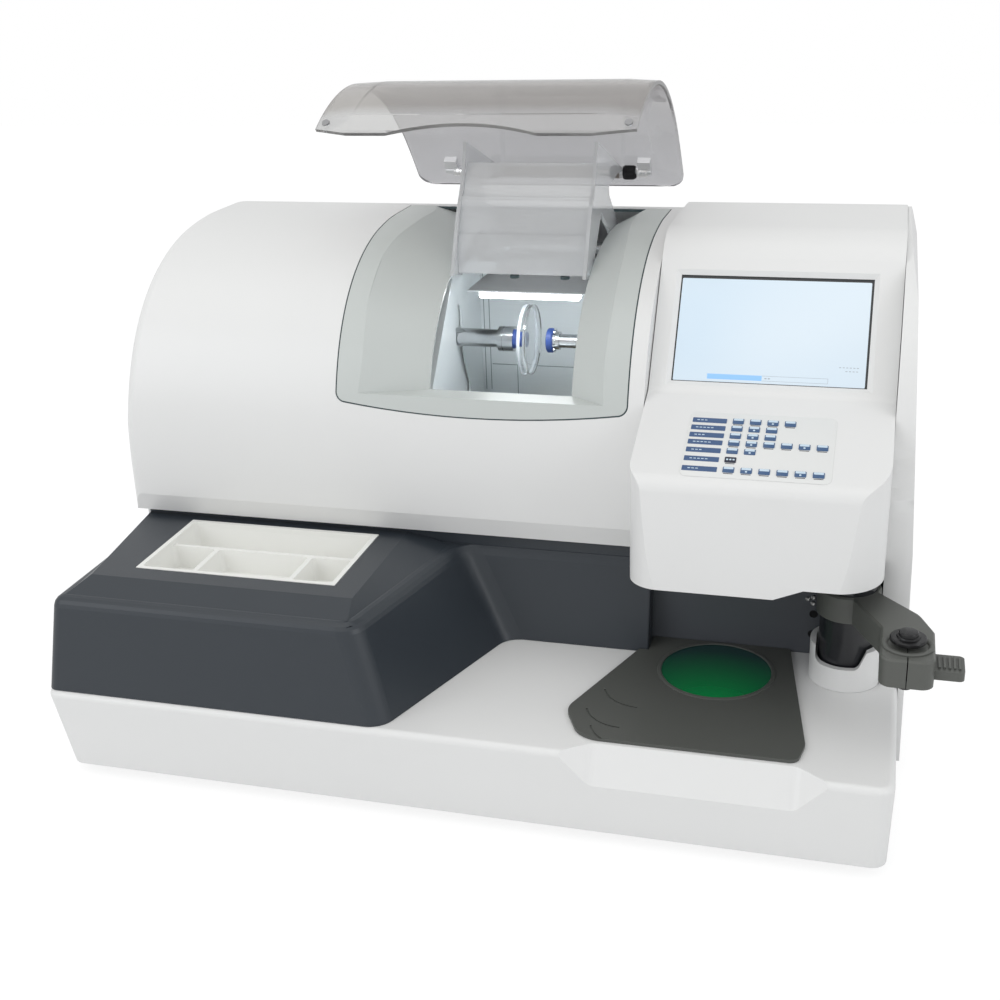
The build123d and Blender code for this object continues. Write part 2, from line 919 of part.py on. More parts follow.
def make_dark_side_cover():
    low, edge, top = table_height + seat_gap, dark_edge_height, dark_platform_height
    sections = [dark_outline(low, 0)]
    for i in range(dark_top_steps + 1):
        angle = math.pi / 2 * i / dark_top_steps
        sections.append(dark_outline(edge - dark_top_radius * (1 - math.sin(angle)),
                                     dark_top_radius * (1 - math.cos(angle))))
    shell = loft(sections, ruled=True)
    shell += loft([dark_cap(edge, dark_small_radius), dark_platform(top, 0)], ruled=True)
    inner = loft([dark_inner(low), dark_inner(edge - dark_wall)], ruled=True)
    inner += loft([dark_cap(edge - dark_wall, dark_wall), dark_platform(top - dark_wall, dark_wall)],
                  ruled=True)
    wing_back = dark_wing_rear - dark_wall
    wedge = polygon([(dark_wing_foot + dark_wall, low - overrun), (wing_back, low - overrun),
                     (wing_back, edge - overrun)])
    inner += slab_x(wedge, dark_diagonal_x + dark_bend_radius, dark_wing_end - dark_wall)
    shell -= inner
    shell += block(dark_top_left, dark_wing_end - dark_small_radius, dark_upstand_front, dark_wing_rear,
                   dark_upstand_low, dark_upstand_top)
    x0, x1 = acc_left - slide_gap, acc_right + slide_gap
    y0, y1 = acc_front - slide_gap, acc_back + slide_gap
    wall = acc_pocket_wall
    floor = top - acc_height - seat_gap
    tub = block(x0 - wall, x1 + wall, y0 - wall, y1 + wall, floor - wall, top - dark_wall / 2)
    return shell + tub - block(x0, x1, y0, y1, floor, top + overrun)


def tray_pocket(x0, x1, y0, y1, floor, top):
    draft, corner = acc_pocket_draft, acc_pocket_corner
    low = rounded_slab(x0 + draft, x1 - draft, y0 + draft, y1 - draft, floor, corner)
    high = rounded_slab(x0, x1, y0, y1, top, corner)
    return loft([low, high])


def make_accessory_tray():
    low, high = dark_platform_height - acc_height, dark_platform_height + seat_gap
    tray = block(acc_left, acc_right, acc_front, acc_back, low, high)
    x0, x1 = acc_left + acc_rim, acc_right - acc_rim
    y0, y1 = acc_front + acc_rim, acc_back - acc_rim
    split = y1 - (y1 - y0) * acc_row_share
    edges = [x0] + [x0 + (x1 - x0) * share for share in acc_column_shares] + [x1]
    floor = low + acc_floor
    rib_top = high - acc_rib_drop
    rib = acc_rib / 2
    mouth = rounded_slab(x0, x1, y0, y1, rib_top, acc_pocket_corner)
    tray -= extrude(mouth, acc_rib_drop + overrun)
    tray -= tray_pocket(x0, x1, split + rib, y1, floor, rib_top + seat_gap)
    for left, right in zip(edges, edges[1:]):
        left += rib if left > x0 else 0
        right -= rib if right < x1 else 0
        tray -= tray_pocket(left, right, y0, split - rib, floor, rib_top + seat_gap)
    return tray


liner_apron_end = (liner_front_low - overrun, liner_apron_low + overrun)
liner_wall_foot = (liner_front_low + overrun, liner_floor + overrun)
liner_knee = (mouth_knee_y + liner_flange / 2, mouth_knee_z - liner_knee_drop)
liner_lip = (liner_back_lip, liner_apron_top)
liner_trough = [
    liner_lip, liner_apron_end, (liner_front_low + overrun, liner_apron_low - 2 * overrun), liner_wall_foot,
    (liner_back, liner_floor),
]
drain_x = liner_left / 2
drain_y = (liner_front_low + liner_back) / 2
lens_reach = math.hypot(pivot_y - lens_y, pivot_z - lens_z)
lens_rest = math.degrees(math.atan2(lens_z - pivot_z, lens_y - pivot_y))


def swing_point(turn, radius):
    angle = math.radians(lens_rest + turn)
    return (pivot_y + radius * math.cos(angle), pivot_z + radius * math.sin(angle))


def slot_cutter(x0, x1, radius):
    half = radius + slot_gap
    outer, inner = lens_reach + half, lens_reach - half
    middle = (carriage_down - carriage_up) / 2
    face = make_face([
        ThreePointArc(swing_point(-carriage_up, outer), swing_point(middle, outer),
                      swing_point(carriage_down, outer)),
        Line(swing_point(carriage_down, outer), swing_point(carriage_down, inner)),
        ThreePointArc(swing_point(carriage_down, inner), swing_point(middle, inner),
                      swing_point(-carriage_up, inner)),
        Line(swing_point(-carriage_up, inner), swing_point(-carriage_up, outer)),
    ])
    cutter = slab_x(face, x0, x1)
    for turn in (-carriage_up, carriage_down):
        y, z = swing_point(turn, lens_reach)
        cutter += rod_x(x0, x1, y, z, half)
    return cutter


def make_chamber_liner():
    sheet = liner_sheet
    high = cover_height + overrun
    outline = inset_points(liner_trough + [(liner_back, liner_roof), liner_knee], -sheet)
    hollow = liner_trough + [(liner_back, high), (0, high), (0, liner_apron_top + overrun)]
    liner = slab_x(polygon(outline), liner_left - sheet, liner_right + sheet)
    liner -= slab_x(polygon(hollow), liner_left, liner_right)
    liner -= block(liner_left, liner_right, liner_back - sheet, liner_back + 2 * sheet,
                   liner_roof - liner_back_drop, high)
    roof_left = mouth_left + 2 * arm_plate + arm_plate_gap
    roof_right = mouth_right - 2 * arm_plate - arm_plate_gap
    liner += block(roof_left, roof_right, liner_roof_front, liner_back + sheet, liner_roof,
                   liner_roof + sheet)
    liner += block(roof_left, roof_right, liner_back, liner_back + sheet,
                   liner_roof - 2 * liner_back_drop, liner_roof + sheet)
    flange = [(liner_back_lip, liner_apron_top - sheet / 2), liner_knee,
              (liner_knee[0] + sheet, liner_knee[1] - sheet),
              (liner_back_lip + sheet, liner_apron_top - sheet)]
    liner += slab_x(polygon(flange), liner_left - sheet / 2, mouth_left - seat_gap)
    liner += slab_x(polygon(flange), mouth_right + seat_gap, liner_right + sheet / 2)
    liner -= slot_cutter(liner_left - 2 * sheet, liner_left + sheet, shaft_radius)
    liner -= slot_cutter(liner_right - sheet, liner_right + 2 * sheet, quill_radius)
    liner -= rod_x(liner_left - 2 * sheet, liner_right + 2 * sheet, wheel_y, wheel_z,
                   spindle_radius + spindle_bore_gap)
    drain = rod_z(liner_floor - drain_length, liner_floor + overrun, drain_x, drain_y, drain_radius)
    drain += rod_z(liner_floor - drain_stop_depth, liner_floor + overrun, drain_x, drain_y,
                   drain_radius + drain_stop_width)
    low = liner_floor - 2 * drain_length
    middle = sheet / 2
    drain &= slab_x(polygon([(0, low), (base_depth, low), (base_depth, liner_floor - middle),
                             (liner_back, liner_floor - middle),
                             (liner_wall_foot[0], liner_wall_foot[1] - middle),
                             (0, liner_wall_foot[1] - middle)]),
                    liner_left, liner_right)
    liner += drain
    bore = rod_z(liner_floor - drain_length - overrun, liner_floor + 2 * overrun, drain_x, drain_y,
                 drain_radius - 2 * sheet)
    nozzle = rod_y(liner_back - overrun, liner_back + overrun, nozzle_x, nozzle_z, nozzle_radius)
    return liner - bore - nozzle


def make_water_nozzle():
    tube = rod_y(liner_back - nozzle_length, liner_back + liner_sheet + nozzle_barb, nozzle_x, nozzle_z,
                 nozzle_radius)
    flange = rod_y(liner_back + liner_sheet, liner_back + 2 * liner_sheet, nozzle_x, nozzle_z,
                   2 * nozzle_radius)
    bore = rod_y(liner_back - nozzle_length - overrun, liner_back + liner_sheet + nozzle_barb + overrun,
                 nozzle_x, nozzle_z, nozzle_bore)
    return tube + flange - bore


def make_chamber_lamp():
    lamp = block(lamp_left, lamp_right, lamp_front, lamp_front + lamp_width, liner_roof - lamp_height,
                 liner_roof)
    return chamfer(lamp.edges().group_by(Axis.Z)[0].filter_by(Axis.X), lamp_height / 3)


def bearing_ring(x0, x1):
    foot_half = spindle_bearing_radius
    body = rod_x(x0, x1, wheel_y, wheel_z, spindle_bearing_radius)
    body += block(x0, x1, wheel_y - foot_half, wheel_y + foot_half, chassis_top, wheel_z)
    return body - rod_x(x0 - overrun, x1 + overrun, wheel_y, wheel_z, spindle_radius + spindle_fit)


def make_spindle_bearings():
    left = liner_left - liner_sheet
    right = liner_right + liner_sheet
    return Compound([bearing_ring(left - spindle_bearing_length, left),
                     bearing_ring(right, right + spindle_bearing_length)])


def make_wheel_spindle():
    spindle = rod_x(spindle_left, spindle_right, wheel_y, wheel_z, spindle_radius)
    for x0, x1 in ((rough_left - spindle_nut_length, rough_left),
                   (finish_right, finish_right + spindle_nut_length)):
        spindle += rod_x(x0, x1, wheel_y, wheel_z, spindle_nut_radius)
    return spindle


def wheel(x0, x1):
    disc = rod_x(x0, x1, wheel_y, wheel_z, wheel_radius)
    disc = chamfer(disc.edges().filter_by(GeomType.CIRCLE), wheel_chamfer)
    return disc - rod_x(x0 - overrun, x1 + overrun, wheel_y, wheel_z, spindle_radius + spindle_fit)


def make_roughing_wheel():
    return wheel(rough_left, rough_right)


def make_finishing_wheel():
    left = rough_right + wheel_gap
    middle = (left + finish_right) / 2
    rim = wheel_z + wheel_radius
    groove = make_face(Polyline([(middle - wheel_groove, rim + wheel_groove / 2),
                                 (middle, rim - wheel_groove / 2),
                                 (middle + wheel_groove, rim + wheel_groove / 2)], close=True))
    groove = Plane.XZ.offset(-wheel_y) * groove
    cut = revolve(groove, Axis((0, wheel_y, wheel_z), (1, 0, 0)), 360)
    return wheel(left, finish_right) - cut


def pulley(x0, width, y, z, radius, flange, flange_height, bore):
    body = rod_x(x0, x0 + width, y, z, radius)
    for start in (x0, x0 + width - flange):
        body += rod_x(start, start + flange, y, z, radius + flange_height)
    if bore:
        body -= rod_x(x0 - overrun, x0 + width + overrun, y, z, bore)
    return body


def belt_loop(x0, x1, a, ra, b, rb, gap, thick):
    def wrap(grow):
        dy, dz = b[0] - a[0], b[1] - a[1]
        length = math.hypot(dy, dz)
        lean = math.acos((ra - rb) / length)
        along = math.atan2(dz, dy)
        corners = []
        for sign in (1, -1):
            angle = along + sign * lean
            for place, radius in ((a, ra), (b, rb)):
                corners.append((place[0] + (radius + grow) * math.cos(angle),
                                place[1] + (radius + grow) * math.sin(angle)))
        quad = polygon([corners[0], corners[1], corners[3], corners[2]])
        return slab_x(quad, x0, x1) + rod_x(x0, x1, a[0], a[1], ra + grow) + rod_x(x0, x1, b[0], b[1],
            rb + grow)
    return wrap(gap + thick) - wrap(gap)


pulley_right = pulley_left + pulley_width


def make_spindle_pulley():
    return pulley(pulley_left, pulley_width, wheel_y, wheel_z, pulley_radius, pulley_flange,
                  pulley_flange_height, spindle_radius + spindle_fit)


def make_motor_pulley():
    body = pulley(pulley_left, pulley_width, motor_y, motor_z, motor_pulley_radius, pulley_flange,
                  pulley_flange_height, 0)
    return body + rod_x(pulley_right, motor_left + motor_shaft_stub, motor_y, motor_z, motor_shaft_radius * 2)


def make_drive_belt():
    side = pulley_flange + slide_gap
    return belt_loop(pulley_left + side, pulley_right - side, (wheel_y, wheel_z), pulley_radius,
                     (motor_y, motor_z), motor_pulley_radius, belt_gap, belt_thick)


def make_wheel_motor():
    body = rod_x(motor_left, motor_left + motor_length, motor_y, motor_z, motor_radius)
    half = motor_foot_width / 2
    body += block(motor_left + overrun, motor_left + motor_length - overrun, motor_y - half, motor_y + half,
                  chassis_top, motor_z)
    return body - rod_x(motor_left - overrun, motor_left + motor_shaft_stub + slide_gap, motor_y, motor_z,
                        2 * motor_shaft_radius + spindle_fit)


# Lens carriage: two arms on a cross tube that swings on the pivot shaft
arm_left = arm_inner_left - arm_thick
arm_right = arm_inner_right + arm_thick


def link(x0, x1, a, b, half):
    dy, dz = b[0] - a[0], b[1] - a[1]
    length = math.hypot(dy, dz)
    ny, nz = -dz / length * half, dy / length * half
    quad = polygon([(a[0] + ny, a[1] + nz), (b[0] + ny, b[1] + nz), (b[0] - ny, b[1] - nz),
                    (a[0] - ny, a[1] - nz)])
    return slab_x(quad, x0, x1) + rod_x(x0, x1, a[0], a[1], half) + rod_x(x0, x1, b[0], b[1], half)


def make_lens_carriage():
    lens, pivot = (lens_y, lens_z), (pivot_y, pivot_z)
    carriage = link(arm_left, arm_inner_left, lens, pivot, arm_nose)
    carriage += link(arm_inner_right, arm_right, lens, pivot, arm_nose)
    carriage += rod_x(arm_left, arm_right, pivot_y, pivot_z, tube_radius)
    carriage -= rod_x(arm_left - overrun, arm_right + overrun, pivot_y, pivot_z, pivot_radius + pivot_fit)
    carriage -= rod_x(arm_left - overrun, arm_inner_left + overrun, lens_y, lens_z, shaft_radius + shaft_fit)
    return carriage - rod_x(arm_inner_right - overrun, arm_right + overrun, lens_y, lens_z,
                            quill_radius + shaft_fit)


support_left = arm_left - support_gap
support_right = arm_right + support_gap


def make_carriage_supports():
    half = support_width / 2
    made = []
    for x0, x1 in ((support_left - support_thick, support_left),
                   (support_right, support_right + support_thick)):
        post = block(x0, x1, pivot_y - half, pivot_y + half, chassis_top, pivot_z)
        post += rod_x(x0, x1, pivot_y, pivot_z, half)
        made.append(post - rod_x(x0 - overrun, x1 + overrun, pivot_y, pivot_z, pivot_radius))
    return Compound(made)


def make_carriage_pivot_shaft():
    return rod_x(support_left - support_thick, support_right + support_thick, pivot_y, pivot_z, pivot_radius)


lens_pulley_x = left_shaft_end + drive_motor_clear
lens_motor_at = swing_point(0, lens_reach - drive_motor_reach)


def make_left_lens_shaft():
    shaft = rod_x(left_shaft_end, chuck_left, lens_y, lens_z, shaft_radius)
    shaft += rod_x(chuck_left, chuck_right, lens_y, lens_z, chuck_radius)
    collar = rod_x(arm_left - shaft_radius / 2, arm_left - seat_gap, lens_y, lens_z,
                   shaft_radius + 2 * seat_gap)
    groove = rod_x(chuck_left + shaft_radius / 2, chuck_left + shaft_radius / 2 + seat_gap * 2, lens_y,
                   lens_z,
                   chuck_radius + overrun) - rod_x(chuck_left, chuck_right, lens_y, lens_z,
                                                   chuck_radius - seat_gap * 2)
    return shaft + collar - groove


def make_lens_drive_pulley():
    return pulley(lens_pulley_x, lens_pulley_width, lens_y, lens_z, shaft_pulley_radius, 2 * seat_gap,
                  lens_belt_thick, shaft_radius + shaft_fit)


def make_lens_motor_pulley():
    y, z = lens_motor_at
    body = pulley(lens_pulley_x, lens_pulley_width, y, z, motor_pulley_small_radius, 2 * seat_gap,
                  lens_belt_thick, 0)
    return body + rod_x(lens_pulley_x + lens_pulley_width,
                        arm_left - drive_motor_length + motor_shaft_radius, y, z,
                        motor_shaft_radius)


def make_lens_drive_belt():
    side = seat_gap * 4
    return belt_loop(lens_pulley_x + side, lens_pulley_x + lens_pulley_width - side, (lens_y, lens_z),
                     shaft_pulley_radius, lens_motor_at, motor_pulley_small_radius, lens_belt_gap,
                     lens_belt_thick)


def make_lens_drive_motor():
    y, z = lens_motor_at
    body = rod_x(arm_left - drive_motor_length, arm_left, y, z, drive_motor_radius)
    return body - rod_x(arm_left - drive_motor_length - overrun,
                        arm_left - drive_motor_length + motor_shaft_radius + slide_gap, y, z,
                        motor_shaft_radius + shaft_fit)


def make_lens_block():
    start = chuck_right
    flange = rod_x(start, start + block_length / 3, lens_y, lens_z, block_radius)
    body = rod_x(start + block_length / 3, lens_x - lens_thick / 2, lens_y, lens_z, block_radius * 0.8)
    return flange + body


def make_demo_lens():
    front = lens_x - lens_thick / 2
    sag = lens_curve - math.sqrt(lens_curve ** 2 - lens_radius ** 2)
    half = lens_curve - math.sqrt(lens_curve ** 2 - lens_radius ** 2 / 4)
    rim, mid = lens_z + lens_radius, lens_z + lens_radius / 2
    back = front + lens_thick
    section = make_face([
        ThreePointArc((front, lens_z), (front + half, mid), (front + sag, rim)),
        Line((front + sag, rim), (back + sag, rim)),
        ThreePointArc((back + sag, rim), (back + half, mid), (back, lens_z)),
        Line((back, lens_z), (front, lens_z)),
    ])
    lens_plane = Plane((0, lens_y, 0), x_dir=(1, 0, 0), z_dir=(0, -1, 0))
    return revolve(lens_plane * section, Axis((0, lens_y, lens_z), (1, 0, 0)), 360)


def make_clamp_carrier():
    x0 = arm_inner_right - quill_length / 2
    body = rod_x(x0, x0 + quill_length + arm_thick, lens_y, lens_z, quill_radius)
    body += rod_x(arm_right + clamp_travel + seat_gap,
                  arm_right + clamp_travel + seat_gap + quill_flange_length,
                  lens_y, lens_z, quill_flange)
    return body - rod_x(x0 - overrun, x0 + quill_length + arm_thick + overrun, lens_y, lens_z,
                        clamp_shaft_radius + shaft_fit)


def make_right_lens_shaft():
    start = pad_left + pad_length
    shaft = rod_x(start, right_shaft_end, lens_y, lens_z, clamp_shaft_radius)
    shaft += rod_x(start, start + collet_length, lens_y, lens_z, collet_radius)
    quill_start = arm_inner_right - quill_length / 2
    return shaft + rod_x(quill_start - seat_gap - right_collar_length, quill_start - seat_gap, lens_y, lens_z,
                         right_collar_radius)


def make_clamp_pad():
    pad = rod_x(pad_left, pad_left + pad_length, lens_y, lens_z, pad_radius)
    return chamfer(pad.edges().filter_by(GeomType.CIRCLE), pad_length / 6)


# Lid and guard are drawn shut on the barrel and turned open about the hinge shaft
lid_hinge = Axis((0, lid_pivot_y, lid_pivot_z), (1, 0, 0))


def lid_opened(shape):
    return shape.rotate(lid_hinge, -lid_open_angle)


def lid_rise_at(angle, first, rises):
    fold, crown, full = rises
    turned = math.degrees(angle)
    if turned < lid_crown_angle:
        return fold + (crown - fold) * (turned - first) / (lid_crown_angle - first)
    share = min((turned - lid_crown_angle) / (lid_full_angle - lid_crown_angle), 1)
    return crown + (full - crown) * share * share * (3 - 2 * share)


def lid_section(x, low, rises, end_high, front, bevel, back):
    start, folded = barrel_angle(front), barrel_angle(front + bevel)
    under = barrel_curve(low, start)
    spread = [folded + (math.pi / 2 - folded) * i / barrel_steps for i in range(barrel_steps + 1)]
    over = [barrel_point(min(angle, math.pi / 2), lid_rise_at(angle, math.degrees(folded), rises))
            for angle in spread]
    end = barrel_point(start, end_high)
    top = cover_height
    edges = ring([
        over[-1], (back - lid_back_bevel, top + rises[-1]), (back, top + end_high), (back, top + low),
        under[-1]])
    return Plane.YZ.offset(x) * make_face(
        [Spline(*over), Spline(*under), Line(under[0], end), Line(end, over[0])] + edges)


def lid_solid(low, wall, end_high, inset):
    front, back = lid_front_height + inset, lid_back - inset
    xs = (lid_left + inset / 2, lid_left + lid_bevel + inset / 2,
          lid_right - lid_bevel - inset / 2, lid_right - inset / 2)
    crest = [lid_gap + rise - wall for rise in (lid_fold_rise, lid_crown_rise, lid_rise)]
    rim = [end_high + seat_gap / 3] * len(crest)
    near, left, right, far = [
        lid_section(x, low, rises, end_high, front, lid_front_bevel, back)
        for x, rises in zip(xs, (rim, crest, crest, rim))]
    middle = extrude(left, xs[2] - xs[1], dir=(1, 0, 0))
    return loft([near, left], ruled=True) + middle + loft([right, far], ruled=True)


def lid_screw_places():
    y, _ = barrel_point(barrel_angle(lid_front_height + lid_screw_height), lid_gap)
    z = lid_front_height + lid_screw_height
    return [(x, y, z) for x in (lid_left + lid_screw_inset, lid_right - lid_screw_inset)]


def lid_screw_rod(place, radius, front, back):
    x, y, z = place
    return rod_y(y - front, y + back, x, z, radius)


def make_lid_shell():
    shell = lid_solid(lid_gap, 0, lid_gap + lid_lip, 0)
    shell -= lid_solid(lid_gap - overrun, lid_wall, lid_gap + lid_lip - lid_wall, lid_wall)
    reach = (lid_notch_half ** 2 + lid_notch_rise ** 2) / (2 * lid_notch_rise)
    front, back = barrel_front - 3 * overrun, barrel_front + 6 * overrun
    shell -= rod_y(front, back, lid_notch_x, lid_front_height + lid_notch_rise - reach, reach)
    low = lid_front_height - overrun
    for side, end in ((-1, lid_left), (1, lid_right)):
        edge = end + side * overrun
        tip = [(edge, low), (edge, lid_front_height + lid_tip_rise),
               (lid_notch_x + side * lid_notch_half, low)]
        shell -= slab_y(polygon(tip), front, back)
        turn = end - side * lid_corner_radius
        corner = block(min(turn, edge), max(turn, edge), lid_back - lid_corner_radius, lid_back + overrun,
                       cover_height - overrun, cover_height + lid_gap + lid_rise + overrun)
        shell -= corner - rod_z(cover_height - 2 * overrun, cover_height + lid_rise + 2 * overrun, turn,
                                lid_back - lid_corner_radius, lid_corner_radius)
    for place in lid_screw_places():
        shell -= lid_screw_rod(place, lid_screw_radius / 2, 4 * overrun, 2 * overrun)
        shell -= lid_screw_rod(place, lid_screw_radius + seat_gap, 4 * overrun, lid_screw_seat - lid_lip)
    return lid_opened(shell)


def make_lid_screws():
    made = []
    for place in lid_screw_places():
        high = lid_lip + lid_screw_head
        made.append(lid_opened(lid_screw_rod(place, lid_screw_radius, high, lid_screw_seat - lid_lip)
                               + lid_screw_rod(place, lid_screw_radius / 2 - shaft_fit, lid_lip, 0)))
    return Compound(made)


crossbar_closed_z = cover_height + lid_gap + crossbar_radius
plate_left = mouth_left + arm_plate_gap
plate_right = mouth_right - arm_plate_gap - arm_plate


def polar(angle, radius):
    turn = math.radians(angle)
    return (lid_pivot_y - radius * math.cos(turn), lid_pivot_z + radius * math.sin(turn))


def crossbar_open():
    y, z = crossbar_closed_y - lid_pivot_y, crossbar_closed_z - lid_pivot_z
    turn = math.radians(lid_open_angle)
    return (lid_pivot_y + y * math.cos(turn) + z * math.sin(turn),
            lid_pivot_z - y * math.sin(turn) + z * math.cos(turn))


# Side plate outline as angle over the hinge and share of the guard's radius
plate_front_shares = ((3, 1.16), (13, 1.09), (24, 1.055), (32, 1.035), (37, 1.05), (45.5, 1.11))
plate_top_shares = ((52.5, 0.90), (70, 0.635))
plate_under_shares = ((72, 0.54), (55, 0.60), (47, 0.66), (44, 0.61))
plate_rear_shares = ((28, 0.78), (13.5, 0.865), (1.5, 0.98))


def make_guard_side_plates():
    rod_y_open, rod_z_open = crossbar_open()
    end = crossbar_radius + plate_eye_wall
    front = [polar(angle, share * guard_radius) for angle, share in plate_front_shares]
    top = [polar(angle, share * guard_radius) for angle, share in plate_top_shares]
    under = [polar(angle, share * guard_radius) for angle, share in plate_under_shares]
    rear = [polar(angle, share * guard_radius) for angle, share in plate_rear_shares]
    arm_turn = math.radians(plate_under_shares[-1][0] - 6)
    side_y, side_z = math.sin(arm_turn) * arm_boss_radius * 0.7, math.cos(arm_turn) * arm_boss_radius * 0.7
    hub_top = (lid_pivot_y + side_y, lid_pivot_z + side_z)
    hub_low = (lid_pivot_y - side_y, lid_pivot_z - side_z)
    outline = ([Spline(*front)] + ring([front[-1]] + top + [(rod_y_open + end, rod_z_open)] + under
                                       + [hub_top, hub_low] + rear + [front[0]]))
    face = make_face(outline)
    flat = cover_height + lid_gap + lid_rise - lid_wall - plate_top_clear
    above = lid_opened(block(plate_left - overrun, plate_right + 2 * overrun, barrel_front, base_depth,
                             flat, flat + lid_rise + arm_boss_radius))
    plates = []
    for x0 in (plate_left, plate_right):
        plate = slab_x(face, x0, x0 + arm_plate)
        plate += rod_x(x0, x0 + arm_plate, rod_y_open, rod_z_open, end)
        plate += rod_x(x0, x0 + arm_plate, lid_pivot_y, lid_pivot_z, arm_boss_radius)
        plate -= above
        plate -= rod_x(x0 - overrun, x0 + arm_plate + overrun, rod_y_open, rod_z_open, crossbar_radius)
        plates.append(plate - rod_x(x0 - overrun, x0 + arm_plate + overrun, lid_pivot_y, lid_pivot_z,
                                    lid_shaft_radius + lid_shaft_fit))
    return Compound(plates)


def band_face(low, high, inner, outer):
    middle = (low + high) / 2
    return make_face([
        ThreePointArc(polar(low, inner), polar(middle, inner), polar(high, inner)),
        Line(polar(high, inner), polar(high, outer)),
        ThreePointArc(polar(high, outer), polar(middle, outer), polar(low, outer)),
        Line(polar(low, outer), polar(low, inner)),
    ])


def make_guard_sheet():
    sheet = None
    band = (guard_high_angle - guard_low_angle) / guard_bands
    for i in range(guard_bands):
        inner = guard_radius + guard_step * (guard_bands - 1 - i)
        low = guard_low_angle + band * i - (guard_step / 4 if i else 0)
        piece = slab_x(band_face(low, guard_low_angle + band * (i + 1), inner, inner + guard_sheet_thick),
                       plate_left + arm_plate, plate_right)
        sheet = piece if sheet is None else sheet + piece
    return sheet


def make_guard_bumpers():
    made = []
    inner = guard_radius + guard_step * (guard_bands - 1) + guard_sheet_thick / 2
    y, z = polar(guard_low_angle, inner)
    for share in bumper_shares:
        x = plate_left + (plate_right - plate_left) * share
        made.append(rod_z(z - bumper_height, z - guard_sheet_thick / 4, x, y, bumper_radius))
    return Compound(made)


def make_guard_crossbar():
    y, z = crossbar_closed_y, crossbar_closed_z
    bar = rod_x(crossbar_left, crossbar_right, y, z, crossbar_radius)
    top = cover_height + lid_gap + lid_rise - lid_wall - shaft_fit
    back = lid_back - lid_wall - lid_back_bevel - slide_gap
    for x in (crossbar_left, crossbar_right - crossbar_lug_width):
        bar += block(x, x + crossbar_lug_width, back - crossbar_lug_length, back, z - crossbar_radius / 2,
                     top)
    return lid_opened(bar)


def make_lid_hinge_shaft():
    return rod_x(plate_left - lid_support_gap - lid_support_thick,
                 plate_right + arm_plate + lid_support_gap + lid_support_thick, lid_pivot_y, lid_pivot_z,
                 lid_shaft_radius)


lid_post_front = liner_back + 4 * liner_sheet
lid_post_back = pivot_y - tube_radius - 2 * slide_gap


def make_lid_hinge_supports():
    made = []
    left = plate_left - lid_support_gap
    right = plate_right + arm_plate + lid_support_gap
    for x0, x1 in ((left - lid_support_thick, left), (right, right + lid_support_thick)):
        head = (lid_post_front + lid_post_back) / 2
        post = block(x0, x1, lid_post_front, lid_post_back, chassis_top, lid_pivot_z - 2 * lid_shaft_radius)
        post += link(x0, x1, (head, lid_pivot_z - 3 * lid_shaft_radius), (lid_pivot_y, lid_pivot_z),
                     lid_support_half)
        made.append(post - rod_x(x0 - overrun, x1 + overrun, lid_pivot_y, lid_pivot_z, lid_shaft_radius))
    return Compound(made)


# Console: a shelf and a screen face, each with its own drawing plane (x to the right, y up the slope)
def slope_plane(near, far):
    along_y, along_z = far[0] - near[0], far[1] - near[1]
    length = math.hypot(along_y, along_z)
    return Plane((0, near[0], near[1]), x_dir=(1, 0, 0), z_dir=(0, -along_z / length, along_y / length))


fold = (console_fold_y, console_fold_z)
brow = (console_brow_y, console_brow_z)
peak = (console_peak_y, console_top)
screen_plane = slope_plane(fold, peak)
shelf_plane = slope_plane(brow, fold)


def on_slope(plane, x0, x1, s0, s1, depth0, depth1):
    return plane * block(x0, x1, s0, s1, depth0, depth1)


def console_profile(inset):
    points = [(console_front, console_bottom), brow, fold, peak, (cover_back, console_top),
              (cover_back, console_bottom)]
    points = points[::-1]
    radii = [0, cover_back_radius - inset, console_peak_radius - inset, console_fold_radius + inset,
             console_brow_radius - inset, 0]
    moved = inset_points(points, inset)
    if inset:
        moved[0] = (moved[0][0], console_bottom - overrun)
        moved[5] = (moved[5][0], console_bottom - overrun)
    return rounded_polygon(moved, radii)


def console_plan(inset, right=console_right, back=cover_back):
    left, front = console_left + inset, console_front + inset
    points = [(left, front), (right - inset, front), (right - inset, back - inset), (left, back - inset)]
    return rounded_polygon(points, [console_corner_left - inset, console_corner_right - inset, 0, 0])


def console_solid(inset):
    body = slab_x(console_profile(inset), console_left, console_right)
    return body & slab_z(console_plan(inset), console_bottom - 2 * overrun, console_top + overrun)


def make_console_cover():
    shell = console_solid(0) - console_solid(console_wall)
    way = block(console_left - overrun, console_left + 2 * console_wall, console_fold_y + console_radius_gap,
                pivot_y + support_width / 2 + slide_gap, console_bottom - overrun,
                pivot_z + console_side_opening)
    shell -= way & slab_x(console_profile(2 * console_wall), console_left - overrun, console_right)
    x0, x1 = screen_left, screen_left + screen_width
    s0, s1 = screen_from_fold, screen_from_fold + screen_height
    shell -= on_slope(screen_plane, x0, x1, s0, s1, -2 * console_wall, overrun)
    flare = screen_recess_flare
    outer = screen_plane * Pos(0, 0, seat_gap / 10) * polygon([(x0 - flare, s0 - flare),
        (x1 + flare, s0 - flare),
                                                             (x1 + flare, s1 + flare),
                                                                 (x0 - flare, s1 + flare)])
    inner = screen_plane * Pos(0, 0, -screen_recess) * polygon([(x0, s0), (x1, s0), (x1, s1), (x0, s1)])
    shell -= loft([outer, inner], ruled=True)
    arch_end = console_arch_left + console_arch_run
    arch = polygon([(console_arch_left, console_bottom - overrun), (console_arch_left, console_bottom),
                    (arch_end, console_bottom + console_arch_rise),
                    (console_right + overrun, console_bottom + console_arch_rise),
                    (console_right + overrun, console_bottom - overrun)])
    return shell - slab_y(arch, console_front - overrun, stage_panel_front)


